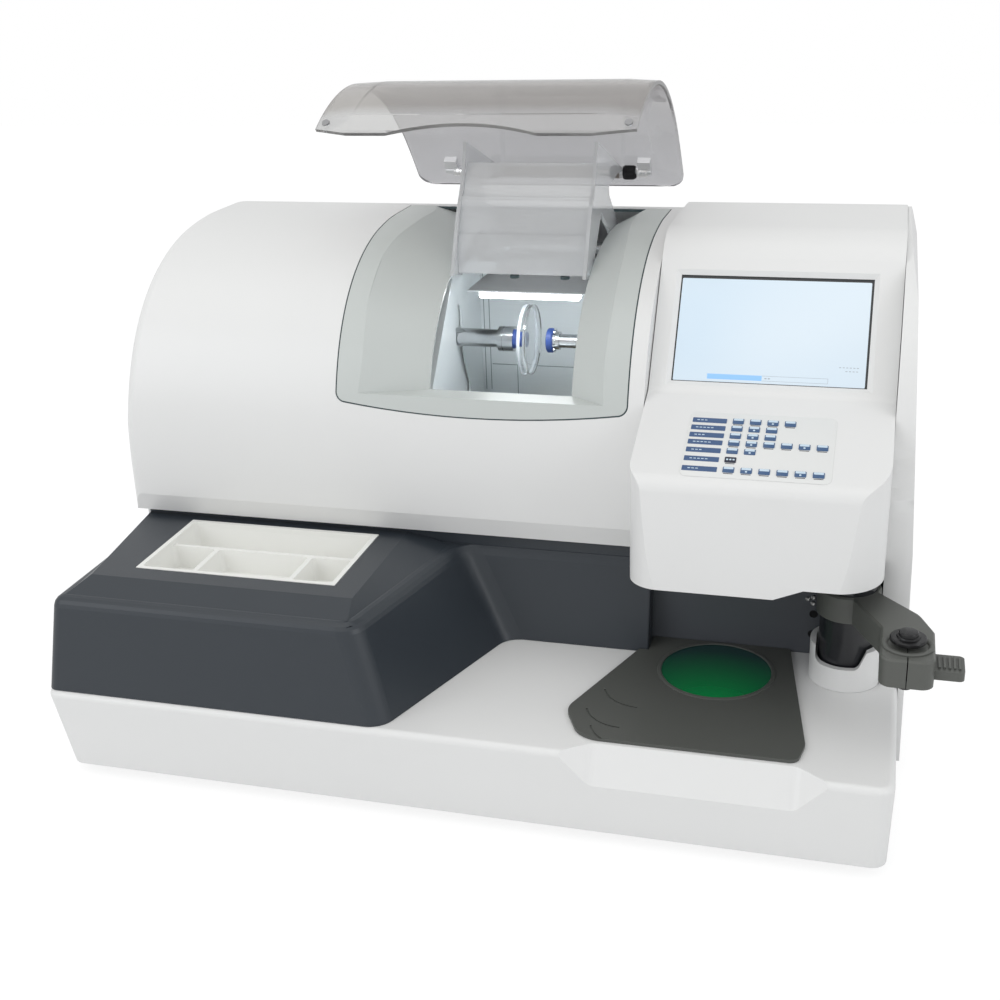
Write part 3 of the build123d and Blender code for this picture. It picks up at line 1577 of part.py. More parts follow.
def make_console_base():
    gap = console_wall + slide_gap
    top = console_base_height + console_base_thick
    plan = rounded_polygon([
        (console_left + gap, console_front + console_base_setback),
        (console_right - gap, console_front + console_base_setback),
        (console_right - gap, console_fold_y + console_radius_gap),
        (console_left + gap, console_fold_y + console_radius_gap),
    ], [console_corner_left - console_wall, console_corner_right - console_wall, 0, 0])
    plate = slab_z(plan, console_base_height, top)
    return plate - rod_z(console_base_height - overrun, top + overrun, post_x, post_y, post_radius + post_fit)


def make_stage_back_panel():
    low, neck, high = table_height + seat_gap, console_bottom - seat_gap, console_base_height
    left, right = console_left + console_wall + slide_gap, console_right - console_wall - slide_gap
    back = stage_panel_front + stage_panel_thick
    panel = block(stage_panel_left, console_right - seat_gap, stage_panel_front, back, low, neck)
    panel += block(left, right, stage_panel_front, back, neck - overrun, high)
    panel += block(left, right, stage_panel_front, stage_panel_front + stage_panel_flange,
                   high - stage_panel_thick, high)
    for x, z in panel_screw_places:
        panel -= rod_y(stage_panel_front - overrun, stage_panel_front + overrun, x, z, screw_radius / 2)
    return panel


def make_lcd_module():
    lip = screen_lip
    body = on_slope(screen_plane, screen_left - lip, screen_left + screen_width + lip, screen_from_fold - lip,
                    screen_from_fold + screen_height + lip, -console_wall - lcd_thick, -console_wall)
    groove = on_slope(screen_plane, screen_left, screen_left + screen_width, screen_from_fold,
                      screen_from_fold + screen_height, -console_wall - screen_glass_drop, overrun)
    return body - groove


def standoff_places():
    left = screen_left + screen_width / 2 - board_width / 2
    low = screen_from_fold + screen_height / 2 - board_height / 2
    inset = standoff_inset
    return [(x, s) for x in (left + inset, left + board_width - inset) for s in (low + inset,
        low + board_height - inset)]


def make_control_board():
    left = screen_left + screen_width / 2 - board_width / 2
    low = screen_from_fold + screen_height / 2 - board_height / 2
    back = -console_wall - lcd_thick
    front = back - board_standoff
    board = on_slope(screen_plane, left, left + board_width, low, low + board_height, front - board_thick,
                     front)
    for x, s in standoff_places():
        board += screen_plane * Pos(x, s, (front + back) / 2) * Cylinder(standoff_radius, board_standoff)
    for i in range(chip_count):
        x = left + board_width / 2 + (i - (chip_count - 1) / 2) * chip_pitch
        board += on_slope(screen_plane, x - chip_size / 2, x + chip_size / 2,
                          low + board_height / 2 - chip_size / 2,
                          low + board_height / 2 + chip_size / 2, front - board_thick - chip_height,
                          front - board_thick)
    return board


def row_height(share):
    return keypad_from_brow + keypad_depth * (1 - share)


def key_places():
    return [(keypad_left + key_first + key_pitch * column, row_height(share))
            for share, count in zip(key_row_shares, key_rows) for column in range(count)]


def make_keypad_overlay():
    sheet = on_slope(shelf_plane, keypad_left, keypad_left + keypad_width, keypad_from_brow,
                     keypad_from_brow + keypad_depth, 0, keypad_thick)
    top = keypad_thick + key_rise
    for x, s in key_places():
        sheet += on_slope(shelf_plane, x - key_width / 2, x + key_width / 2, s - key_depth / 2,
                          s + key_depth / 2,
                          keypad_thick / 2, top)
    left = keypad_left + label_left
    for share in key_row_shares:
        s = row_height(share)
        sheet += on_slope(shelf_plane, left, left + label_width, s - label_depth / 2, s + label_depth / 2,
                          keypad_thick / 2, keypad_thick + key_rise / 2)
    return sheet


# Right side cover: a shallow box that leans inwards to the top and stands beside the base
def side_profile(inset):
    proud = side_proud - inset
    curve = barrel_curve(proud, barrel_angle(cover_lip_top + 2 * overrun))
    back = side_back - inset
    top = cover_height + proud
    bend = cover_back_radius - inset
    turn = bend * math.sqrt(0.5)
    edges = [Spline(*curve), Line(curve[-1], (back - bend, top)),
             ThreePointArc((back - bend, top), (back - bend + turn, top - bend + turn), (back, top - bend))]
    low = foot_height if not inset else -overrun
    return make_face(edges + ring([(back, top - bend), (back, low), (side_front_low + inset, low),
                                   (side_front_low + inset, table_height), curve[0]]))


def side_section(inset):
    right = [(side_bottom_x, foot_height), (side_mid_x, side_mid_z), (side_top_x, side_shoulder_z),
             (side_crown_x, cover_height + side_proud)]
    right = [(x - inset, z) for x, z in right]
    low = foot_height - (overrun if inset else 0)
    points = [(side_left - (overrun if inset else 0), low), (right[0][0], low)] + right[1:]
    return polygon(points + [(points[0][0], cover_height + side_proud)])


def make_right_side_cover():
    outer = slab_x(side_profile(0), side_left, side_bottom_x + overrun) & slab_y(side_section(0), 0,
        base_depth)
    inner = slab_x(side_profile(side_wall), side_left - overrun, side_bottom_x + overrun)
    inner &= slab_y(side_section(side_wall), 0, base_depth)
    tray = block(0, tray_right + seat_gap, 0, base_depth + overrun, 0, table_height + seat_gap)
    relief = rod_z(0, collar_high + overrun, post_x, post_y, collar_radius + slide_gap)
    return outer - inner - tray - relief


# Stage
def stage_outline():
    points = [(stage_left_back, stage_back), (stage_left_front, stage_left_mid_y),
              (stage_front_left, stage_front),
              (stage_front_right, stage_front), (stage_right_front, stage_right_mid_y),
              (stage_right_back, stage_back)]
    return rounded_polygon(points, stage_radii)


stage_low = table_height + seat_gap
stage_top = stage_low + stage_thick


def make_stage_plate():
    plate = slab_z(stage_outline(), stage_low, stage_top)
    plate -= block(dark_foot_left, dark_wing_end + seat_gap, dark_wing_foot - seat_gap, stage_back + overrun,
                   stage_low - overrun, stage_top + overrun)
    plate -= rod_z(stage_low - overrun, stage_top + overrun, window_x, window_y,
                   window_radius + slide_gap / 2)
    for x, y in groove_spans:
        arc = ThreePointArc(*[(x + groove_reach * dx, y - groove_reach * dy) for dx, dy in groove_shares])
        path = make_face(trace_edges(arc, groove_width))
        plate -= slab_z(path, stage_top - groove_depth, stage_top + overrun)
    return plate


def trace_edges(arc, width):
    near = arc.offset_2d(width / 2, side=Side.LEFT, closed=False)
    far = arc.offset_2d(width / 2, side=Side.RIGHT, closed=False)
    near_edges, far_edges = near.edges(), far.edges()
    a0, a1 = near_edges[0] @ 0, near_edges[-1] @ 1
    b0, b1 = far_edges[0] @ 0, far_edges[-1] @ 1
    if (a0 - b0).length > (a0 - b1).length:
        b0, b1 = b1, b0
    return list(near_edges) + list(far_edges) + [Line(a0, b0), Line(a1, b1)]


def make_stage_window():
    low = table_height - tray_wall
    disc = rod_z(low, stage_top - window_sink, window_x, window_y, window_radius)
    return disc + rod_z(low - window_thick / 2, low, window_x, window_y, window_radius + 2 * window_rim)


def make_stage_lamp_board():
    low = table_height - tray_wall - lamp_board_drop
    half = lamp_board_size / 2
    board = block(window_x - half, window_x + half, window_y - half, window_y + half, low - board_thick, low)
    for x in (window_x - half + standoff_inset, window_x + half - standoff_inset):
        for y in (window_y - half + standoff_inset, window_y + half - standoff_inset):
            board += rod_z(chassis_top, low - board_thick, x, y, standoff_radius)
    for i in range(lamp_count):
        angle = 2 * math.pi * i / lamp_count
        board += rod_z(low, low + lamp_bulb_height, window_x + lamp_ring * math.cos(angle),
                       window_y + lamp_ring * math.sin(angle), lamp_bulb_radius)
    return board


# Lens blocker
block_reach = math.hypot(post_x - window_x, post_y - window_y)
block_x = post_x + block_reach * math.cos(math.radians(rest_angle))
block_y = post_y + block_reach * math.sin(math.radians(rest_angle))


def make_blocker_post():
    return rod_z(chassis_top + seat_gap, post_top, post_x, post_y, post_radius)


def make_blocker_collar():
    low = table_height + seat_gap
    floor = low - collar_skirt_depth
    body = rod_z(low, collar_high, post_x, post_y, collar_radius)
    body += rod_z(floor, low, post_x, post_y, collar_skirt_radius)
    body -= rod_z(floor + collar_floor, collar_high + overrun, post_x, post_y, collar_bore)
    body -= rod_z(floor - overrun, collar_high, post_x, post_y, post_radius + post_fit)
    left, right = post_x + collar_ramp_left, post_x + collar_ramp_right
    high = collar_high + overrun
    ramp = rounded_polygon([(left, high), (left, collar_low), (right, collar_low),
                            (right + collar_ramp_run, high)],
                           [0, collar_ramp_radius, collar_ramp_radius, 0])
    return body - slab_y(ramp, post_y - collar_radius - overrun, post_y)


def make_blocker_sleeve():
    sleeve = rod_z(sleeve_bottom, sleeve_top, post_x, post_y, sleeve_radius)
    sleeve = chamfer(sleeve.edges().group_by(Axis.Z)[-1], sleeve_chamfer)
    sleeve -= rod_z(sleeve_bottom + sleeve_end, sleeve_top - sleeve_end, post_x, post_y,
                    sleeve_radius - sleeve_wall)
    return sleeve - rod_z(sleeve_bottom - overrun, sleeve_top + overrun, post_x, post_y,
                          post_radius + post_fit)


def make_blocker_arm():
    px, py, bx, by = post_x, post_y, block_x, block_y
    half, deep = block_half_width, block_half_depth
    points = [(px, py + arm_root_half), (px, py - arm_root_half), (bx - half, by + deep),
              (bx - half, by - deep),
              (bx + half, by - deep), (bx + half, by + deep),
              (bx + half - arm_shoulder_in, by + deep + arm_shoulder)]
    plan = rounded_polygon(points, [0, 0, arm_corner, arm_corner, arm_corner, arm_corner, 2 * arm_corner])
    arm = slab_z(plan, arm_bottom, arm_top)
    arm += slab_z(Pos(px, py) * Circle(sleeve_radius + arm_ring_wall), arm_bottom, arm_top)
    arm = chamfer(arm.faces().sort_by(Axis.Z)[-1].outer_wire().edges(), arm_edge)
    arm -= rod_z(arm_bottom - overrun, arm_top + overrun, px, py, sleeve_radius + shaft_fit)
    arm -= rod_z(arm_bottom - overrun, arm_top + overrun, bx, by, plunger_radius + plunger_fit)
    arm -= block(bx - split_width / 2, bx + split_width / 2, by - deep - overrun, by - plunger_radius,
                 arm_bottom - overrun, arm_top + overrun)
    tab_low = arm_top - tab_drop - tab_thick
    tab = block(bx + half - overrun, bx + half + tab_length, by - tab_half_width, by + tab_half_width,
                tab_low,
                tab_low + tab_thick)
    tab = fillet(tab.edges().filter_by(Axis.Z).sort_by(Axis.X)[-2:], tab_corner)
    for i in range(tab_ribs):
        x = bx + half + tab_length * (i + 1) / (tab_ribs + 1)
        tab += block(x - tab_rib / 2, x + tab_rib / 2, by - tab_half_width + tab_corner,
                     by + tab_half_width - tab_corner, tab_low + tab_thick / 2, tab_low + tab_thick + tab_rib)
    return arm + tab


def make_blocker_plunger():
    knob_low = arm_top + plunger_travel + plunger_stop_gap
    holder_top = arm_bottom - seat_gap
    body = rod_z(holder_top - holder_height - overrun, knob_low + overrun / 2, block_x, block_y,
                 plunger_radius)
    body += rod_z(knob_low, knob_low + knob_height, block_x, block_y, knob_radius)
    body += rod_z(knob_low, knob_low + knob_height + knob_cap_height, block_x, block_y, knob_cap_radius)
    holder = rod_z(holder_top - holder_height, holder_top, block_x, block_y, holder_radius)
    for i in range(holder_flutes):
        angle = 2 * math.pi * i / holder_flutes
        holder -= rod_z(holder_top - holder_height - overrun, holder_top + overrun,
                        block_x + holder_radius * math.cos(angle), block_y + holder_radius * math.sin(angle),
                        holder_flute)
    return body + holder


# Rear panel with the power inlet and the switch
rear_face = cover_back + rear_thick
rear_low, rear_high = table_height + rear_margin_low, cover_height - rear_margin_high
rear_left, rear_right = cover_left + rear_margin_side, console_right - rear_margin_low
switch_axis_y = cover_back - switch_sink


def make_rear_cover():
    plate = block(rear_left, rear_right, cover_back, rear_face, rear_low, rear_high)
    for i in range(vent_count):
        x = vent_x + vent_pitch * i
        plate -= block(x - vent_width / 2, x + vent_width / 2, cover_back - overrun, rear_face + overrun,
                       vent_z, vent_z + vent_length)
    plate -= block(inlet_x - inlet_width / 2 - seat_gap, inlet_x + inlet_width / 2 + seat_gap,
                   cover_back - overrun,
                   rear_face + overrun, inlet_z - inlet_height / 2 - seat_gap,
                   inlet_z + inlet_height / 2 + seat_gap)
    half = switch_width / 2 + switch_gap
    radius = switch_height / 2
    plate -= block(switch_x - half, switch_x + half, cover_back - overrun, rear_face + overrun,
                   inlet_z - radius - switch_gap, inlet_z + radius + switch_gap)
    for x0 in (switch_x - half - switch_ear, switch_x + half):
        ear = block(x0, x0 + switch_ear, switch_axis_y - switch_ear_half, cover_back,
                    inlet_z - switch_ear_half,
                    inlet_z + switch_ear_half)
        plate += ear - rod_x(x0 - overrun, x0 + switch_ear + overrun, switch_axis_y, inlet_z,
                             switch_pin_radius + shaft_fit)
    for x, z in rear_screw_places:
        plate -= rod_y(cover_back - overrun, rear_face + overrun, x, z, screw_radius / 2)
    return plate


rear_screw_places = [
    (x, z) for x in (rear_left + screw_margin, (rear_left + rear_right) / 2, rear_right - screw_margin)
    for z in (rear_low + screw_margin, rear_high - screw_margin)
]


def make_power_inlet():
    low, high = inlet_z - inlet_height / 2, inlet_z + inlet_height / 2
    left, right = inlet_x - inlet_width / 2, inlet_x + inlet_width / 2
    body = block(left, right, rear_face - inlet_depth, rear_face + inlet_flange_thick, low, high)
    edge = inlet_flange
    body += block(left - edge, right + edge, rear_face, rear_face + inlet_flange_thick, low - edge,
                  high + edge)
    w, h = inlet_socket_width / 2, inlet_socket_height / 2
    floor = rear_face - inlet_depth + 2 * inlet_flange_thick
    body -= block(inlet_x - w, inlet_x + w, floor, rear_face + overrun, inlet_z - h, inlet_z + h)
    for dx, dz in ((-w / 2, -h / 4), (0, h / 3), (w / 2, -h / 4)):
        body += rod_y(floor - seat_gap, rear_face - inlet_flange, inlet_x + dx, inlet_z + dz,
                      inlet_pin_radius)
    return body


def make_power_switch():
    radius = switch_height / 2
    half = switch_width / 2
    rocker = rod_x(switch_x - half, switch_x + half, switch_axis_y, inlet_z, radius)
    notch = polygon([(switch_axis_y + radius + overrun, inlet_z + radius + overrun / 2),
                     (switch_axis_y + radius - switch_notch, inlet_z),
                     (switch_axis_y + radius + overrun, inlet_z - radius - overrun / 2)])
    rocker -= slab_x(notch, switch_x - half - overrun, switch_x + half + overrun)
    pin = half + switch_gap + switch_ear
    rocker += rod_x(switch_x - pin, switch_x + pin, switch_axis_y, inlet_z, switch_pin_radius)
    return rocker.rotate(Axis((0, switch_axis_y, inlet_z), (1, 0, 0)), -switch_angle)


def make_power_supply():
    low = chassis_top
    body = block(supply_left, supply_left + supply_width, supply_front, supply_front + supply_depth, low,
                 low + supply_height)
    inner = block(supply_left + supply_wall, supply_left + supply_width - supply_wall,
                  supply_front + supply_wall,
                  supply_front + supply_depth - supply_wall, low + supply_wall,
                  low + supply_height - supply_wall)
    body -= inner
    for i in range(vent_count):
        y = supply_front + supply_depth / 2 + (i - (vent_count - 1) / 2) * vent_pitch
        body -= block(supply_left + supply_width / 4, supply_left + supply_width * 3 / 4, y - vent_width / 2,
                      y + vent_width / 2, low + supply_height - 2 * supply_wall,
                      low + supply_height + overrun)
    return body


panel_screw_top = console_bottom - panel_screw_drop
panel_screw_places = [
    (post_x - panel_screw_offset, z) for z in (panel_screw_top - panel_screw_pitch, panel_screw_top)
]


def screw(x, z, face, out):
    head = rod_y(min(face, face + out * screw_head), max(face, face + out * screw_head), x, z, screw_radius)
    slot_y = face + out * screw_head
    head -= block(x - screw_radius - overrun, x + screw_radius + overrun, slot_y - screw_head / 2,
                  slot_y + screw_head / 2, z - screw_slot / 2, z + screw_slot / 2)
    shank_end = face - out * rear_thick
    return head + rod_y(min(face, shank_end), max(face, shank_end), x, z, screw_radius / 2 - shaft_fit)


def make_cover_screws():
    made = [screw(x, z, rear_face, 1) for x, z in rear_screw_places]
    made += [screw(x, z, stage_panel_front, -1) for x, z in panel_screw_places]
    return Compound(made)


nodes = {
    "base_tray": make_base_tray,
    "chassis_plate": make_chassis_plate,
    "rubber_feet": make_rubber_feet,
    "dark_side_cover": make_dark_side_cover,
    "accessory_tray": make_accessory_tray,
    "main_cover": make_main_cover,
    "rear_cover": make_rear_cover,
    "right_side_cover": make_right_side_cover,
    "console_cover": make_console_cover,
    "console_base": make_console_base,
    "stage_back_panel": make_stage_back_panel,
    "lcd_module": make_lcd_module,
    "keypad_overlay": make_keypad_overlay,
    "control_board": make_control_board,
    "power_supply": make_power_supply,
    "power_inlet": make_power_inlet,
    "power_switch": make_power_switch,
    "cover_screws": make_cover_screws,
    "chamber_bezel": make_chamber_bezel,
    "bezel_gasket": make_bezel_gasket,
    "chamber_liner": make_chamber_liner,
    "water_nozzle": make_water_nozzle,
    "chamber_lamp": make_chamber_lamp,
    "spindle_bearings": make_spindle_bearings,
    "wheel_spindle": make_wheel_spindle,
    "roughing_wheel": make_roughing_wheel,
    "finishing_wheel": make_finishing_wheel,
    "spindle_pulley": make_spindle_pulley,
    "motor_pulley": make_motor_pulley,
    "drive_belt": make_drive_belt,
    "wheel_motor": make_wheel_motor,
    "carriage_supports": make_carriage_supports,
    "carriage_pivot_shaft": make_carriage_pivot_shaft,
    "lens_carriage": make_lens_carriage,
    "lens_drive_motor": make_lens_drive_motor,
    "lens_motor_pulley": make_lens_motor_pulley,
    "lens_drive_pulley": make_lens_drive_pulley,
    "lens_drive_belt": make_lens_drive_belt,
    "left_lens_shaft": make_left_lens_shaft,
    "lens_block": make_lens_block,
    "demo_lens": make_demo_lens,
    "clamp_carrier": make_clamp_carrier,
    "right_lens_shaft": make_right_lens_shaft,
    "clamp_pad": make_clamp_pad,
    "lid_hinge_supports": make_lid_hinge_supports,
    "lid_hinge_shaft": make_lid_hinge_shaft,
    "lid_shell": make_lid_shell,
    "lid_screws": make_lid_screws,
    "guard_side_plates": make_guard_side_plates,
    "guard_sheet": make_guard_sheet,
    "guard_bumpers": make_guard_bumpers,
    "guard_crossbar": make_guard_crossbar,
    "stage_plate": make_stage_plate,
    "stage_window": make_stage_window,
    "stage_lamp_board": make_stage_lamp_board,
    "blocker_post": make_blocker_post,
    "blocker_collar": make_blocker_collar,
    "blocker_sleeve": make_blocker_sleeve,
    "blocker_arm": make_blocker_arm,
    "blocker_plunger": make_blocker_plunger,
}

made = {name: make() for name, make in nodes.items()}
boxes = [shape.bounding_box() for shape in made.values()]
low_x, high_x = min(box.min.X for box in boxes), max(box.max.X for box in boxes)
low_y, high_y = min(box.min.Y for box in boxes), max(box.max.Y for box in boxes)
low_z, high_z = min(box.min.Z for box in boxes), max(box.max.Z for box in boxes)
shift_x, shift_y, shift_z = -(low_x + high_x) / 2, -(low_y + high_y) / 2, -low_z
os.makedirs("parts", exist_ok=True)
for name, shape in made.items():
    export_step(Pos(shift_x, shift_y, shift_z) * shape, f"parts/{name}.step")
    print(name, len(shape.solids()), round(shape.volume))
print("shift", shift_x, shift_y, shift_z)
print("size", high_x - low_x, high_y - low_y, high_z - low_z)
print("block", block_x, block_y)
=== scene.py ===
import json
import math

import bmesh
import bpy
from mathutils import Euler, Matrix, Vector


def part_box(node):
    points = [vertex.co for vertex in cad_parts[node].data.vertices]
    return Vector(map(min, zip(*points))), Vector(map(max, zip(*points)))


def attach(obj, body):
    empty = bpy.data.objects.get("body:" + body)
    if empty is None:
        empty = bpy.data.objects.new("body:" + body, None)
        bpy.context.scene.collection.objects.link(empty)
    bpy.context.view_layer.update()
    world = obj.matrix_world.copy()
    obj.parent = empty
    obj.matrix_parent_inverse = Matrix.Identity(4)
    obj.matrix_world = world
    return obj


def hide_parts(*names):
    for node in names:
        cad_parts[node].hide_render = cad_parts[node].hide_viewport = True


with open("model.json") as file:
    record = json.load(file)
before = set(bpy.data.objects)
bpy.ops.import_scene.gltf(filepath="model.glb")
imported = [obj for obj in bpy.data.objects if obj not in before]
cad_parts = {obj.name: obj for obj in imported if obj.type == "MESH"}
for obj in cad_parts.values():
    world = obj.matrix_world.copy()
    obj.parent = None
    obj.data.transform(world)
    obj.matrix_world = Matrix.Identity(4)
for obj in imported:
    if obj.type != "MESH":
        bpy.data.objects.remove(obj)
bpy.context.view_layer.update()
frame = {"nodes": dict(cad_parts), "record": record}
nodes = frame["nodes"]
print("packed model loaded,", len(nodes), "nodes")

# Places below are in millimetres from the middle of the base's front edge
drawing = {"shiftX": -19.8929, "shiftY": -261.0599, "shiftZ": 0.0}


def place(x, y, z):
    return Vector((x + drawing["shiftX"], y + drawing["shiftY"], z + drawing["shiftZ"])) / 1000


# Camera
cameraSettings = {
    "at": (303.97, -850.81, 636.89),
    "turn": (67.95325, 1.94957, 15.34786),  # degrees about x, y and z
    "focal": 49.545,
    "sensor": 36.0,
    "nearest": 0.05,
    "furthest": 20,
}


def makeCamera():
    data = bpy.data.cameras.new("studioCamera")
    data.lens = cameraSettings["focal"]
    data.sensor_width = cameraSettings["sensor"]
    data.clip_start = cameraSettings["nearest"]
    data.clip_end = cameraSettings["furthest"]
    camera = bpy.data.objects.new("studioCamera", data)
    bpy.context.scene.collection.objects.link(camera)
    turn = Euler([math.radians(angle) for angle in cameraSettings["turn"]])
    camera.matrix_world = Matrix.Translation(place(*cameraSettings["at"])) @ turn.to_matrix().to_4x4()
    bpy.context.scene.camera = camera
    print("camera placed")


makeCamera()


# Shader helpers
def newNode(tree, kind, x, y, **values):
    made = tree.nodes.new(kind)
    made.location = (x, y)
    for key, value in values.items():
        setattr(made, key, value)
    return made


def newMath(tree, x, y, operation, *inputs):
    made = newNode(tree, "ShaderNodeMath", x, y, operation=operation)
    for socket, value in zip(made.inputs, inputs):
        if isinstance(value, (int, float)):
            socket.default_value = value
        else:
            tree.links.new(value, socket)
    return made.outputs[0]


def newNoise(tree, x, y, vector, scale, detail=None):
    made = newNode(tree, "ShaderNodeTexNoise", x, y)
    tree.links.new(vector, made.inputs["Vector"])
    if isinstance(scale, (int, float)):
        made.inputs["Scale"].default_value = scale
    else:
        tree.links.new(scale, made.inputs["Scale"])
    if detail is not None:
        made.inputs["Detail"].default_value = detail
    return made.outputs["Fac"]


def newRamp(tree, x, y, stops):
    made = newNode(tree, "ShaderNodeValToRGB", x, y)
    elements = made.color_ramp.elements
    for index, (position, color) in enumerate(stops):
        stop = elements[index] if index < 2 else elements.new(position)
        stop.position = position
        stop.color = (*color, 1)
    return made


def newGroup(name, inputs):
    tree = bpy.data.node_groups.new(name, "ShaderNodeTree")
    for label, kind, value in inputs:
        socket = tree.interface.new_socket(name=label, in_out="INPUT", socket_type="NodeSocket" + kind)
        if value is not None:
            socket.default_value = value
    for label, kind in (("Color", "Color"), ("Roughness", "Float"), ("Height", "Float")):
        tree.interface.new_socket(name=label, in_out="OUTPUT", socket_type="NodeSocket" + kind)
    entry = newNode(tree, "NodeGroupInput", -900, 0)
    ending = newNode(tree, "NodeGroupOutput", 500, 0)
    return tree, entry, ending


# A slow change of tone and of gloss, both led by one noise
def addTone(tree, entry, ending, noise):
    centred = newMath(tree, -380, -100, "SUBTRACT", noise, 0.5)
    tone = newMath(tree, -200, -60, "MULTIPLY_ADD", centred, entry.outputs["Variation"], 1.0)
    tinted = newNode(tree, "ShaderNodeVectorMath", 0, -40, operation="SCALE")
    tree.links.new(entry.outputs["Color"], tinted.inputs[0])
    tree.links.new(tone, tinted.inputs["Scale"])
    gloss = newMath(tree, -200, -260, "MULTIPLY_ADD", centred, entry.outputs["Roughness Spread"],
                    entry.outputs["Roughness"])
    tree.links.new(tinted.outputs[0], ending.inputs["Color"])
    tree.links.new(gloss, ending.inputs["Roughness"])


# Fine grain of moulded plastic, with soft patches of tone
def makeMouldedGrain():
    tree, entry, ending = newGroup("mouldedGrain", [
        ("Vector", "Vector", None),
        ("Grain Scale", "Float", 900.0),
        ("Patch Scale", "Float", 9.0),
        ("Color", "Color", (0.8, 0.8, 0.8, 1)),
        ("Variation", "Float", 0.03),
        ("Roughness", "Float", 0.4),
        ("Roughness Spread", "Float", 0.06),
    ])
    grain = newNoise(tree, -600, 200, entry.outputs["Vector"], entry.outputs["Grain Scale"], 2)
    patches = newNoise(tree, -600, -100, entry.outputs["Vector"], entry.outputs["Patch Scale"], 3)
    addTone(tree, entry, ending, patches)
    tree.links.new(grain, ending.inputs["Height"])
    return tree


# Lines left by brushing or turning, drawn out along the direction with the least stretch
def makeBrushedLines():
    tree, entry, ending = newGroup("brushedLines", [
        ("Vector", "Vector", None),
        ("Stretch", "Vector", (4.0, 260.0, 260.0)),
        ("Color", "Color", (0.7, 0.7, 0.7, 1)),
        ("Variation", "Float", 0.12),
        ("Roughness", "Float", 0.25),
        ("Roughness Spread", "Float", 0.15),
    ])
    spread = newNode(tree, "ShaderNodeVectorMath", -800, 100, operation="MULTIPLY")
    tree.links.new(entry.outputs["Vector"], spread.inputs[0])
    tree.links.new(entry.outputs["Stretch"], spread.inputs[1])
    lines = newNoise(tree, -600, 100, spread.outputs[0], 4, 4)
    addTone(tree, entry, ending, lines)
    tree.links.new(lines, ending.inputs["Height"])
    return tree


mouldedGrain = makeMouldedGrain()
brushedLines = makeBrushedLines()


def newMaterial(name, color):
    material = bpy.data.materials.new(name)
    material.use_nodes = True
    material.diffuse_color = (*color, 1)
    tree = material.node_tree
    return material, tree, tree.nodes["Principled BSDF"], newNode(tree, "ShaderNodeTexCoord", -900, 0)


def addBump(tree, shader, height, strength, distance=0.0001):
    bump = newNode(tree, "ShaderNodeBump", -220, -300)
    bump.inputs["Strength"].default_value = strength
    bump.inputs["Distance"].default_value = distance
    tree.links.new(height, bump.inputs["Height"])
    tree.links.new(bump.outputs["Normal"], shader.inputs["Normal"])


def addSurface(tree, shader, coords, group, values):
    made = newNode(tree, "ShaderNodeGroup", -560, 0, node_tree=group)
    tree.links.new(coords.outputs["Object"], made.inputs["Vector"])
    for label, value in values.items():
        made.inputs[label].default_value = value
    tree.links.new(made.outputs["Color"], shader.inputs["Base Color"])
    tree.links.new(made.outputs["Roughness"], shader.inputs["Roughness"])
    return made


def plasticMaterial(name, color, roughness, bump=0.06, bumpDepth=0.0002, grainScale=900, patchScale=9,
                    variation=0.03, coat=0.0, emission=None, emissionStrength=1.0):
    material, tree, shader, coords = newMaterial(name, color)
    grain = addSurface(tree, shader, coords, mouldedGrain, {
        "Grain Scale": grainScale, "Patch Scale": patchScale, "Color": (*color, 1),
        "Variation": variation, "Roughness": roughness, "Roughness Spread": 0.08})
    addBump(tree, shader, grain.outputs["Height"], bump, bumpDepth)
    shader.inputs["Coat Weight"].default_value = coat
    shader.inputs["Coat Roughness"].default_value = 0.2
    if emission:
        shader.inputs["Emission Color"].default_value = (*emission, 1)
        shader.inputs["Emission Strength"].default_value = emissionStrength
    return material


def metalMaterial(name, color, roughness, stretch=(4, 260, 260), metallic=1.0, bump=0.05, bumpDepth=0.0001,
                  variation=0.12, roughnessSpread=0.12):
    material, tree, shader, coords = newMaterial(name, color)
    lines = addSurface(tree, shader, coords, brushedLines, {
        "Stretch": stretch, "Color": (*color, 1), "Variation": variation,
        "Roughness": roughness, "Roughness Spread": roughnessSpread})
    addBump(tree, shader, lines.outputs["Height"], bump, bumpDepth)
    shader.inputs["Metallic"].default_value = metallic
    return material


# Clear plastic or glass; light that makes shadows passes straight through it, tinted
def clearMaterial(name, color, shadow, roughness, clarity, ior=1.49, tint=None):
    material, tree, shader, coords = newMaterial(name, color)
    surface = addSurface(tree, shader, coords, mouldedGrain, {
        "Patch Scale": 14, "Color": (*color, 1), "Variation": 0.03,
        "Roughness": roughness, "Roughness Spread": 0.04})
    if tint:
        addTint(tree, coords, surface, tint)
    shader.inputs["Transmission Weight"].default_value = clarity
    shader.inputs["IOR"].default_value = ior
    light = newNode(tree, "ShaderNodeLightPath", 100, 400)
    through = newNode(tree, "ShaderNodeBsdfTransparent", 100, -400)
    through.inputs["Color"].default_value = (*shadow, 1)
    blend = newNode(tree, "ShaderNodeMixShader", 420, 100)
    output = tree.nodes["Material Output"]
    output.location = (640, 100)
    tree.links.new(light.outputs["Is Shadow Ray"], blend.inputs[0])
    tree.links.new(shader.outputs[0], blend.inputs[1])
    tree.links.new(through.outputs[0], blend.inputs[2])
    tree.links.new(blend.outputs[0], output.inputs["Surface"])
    return material


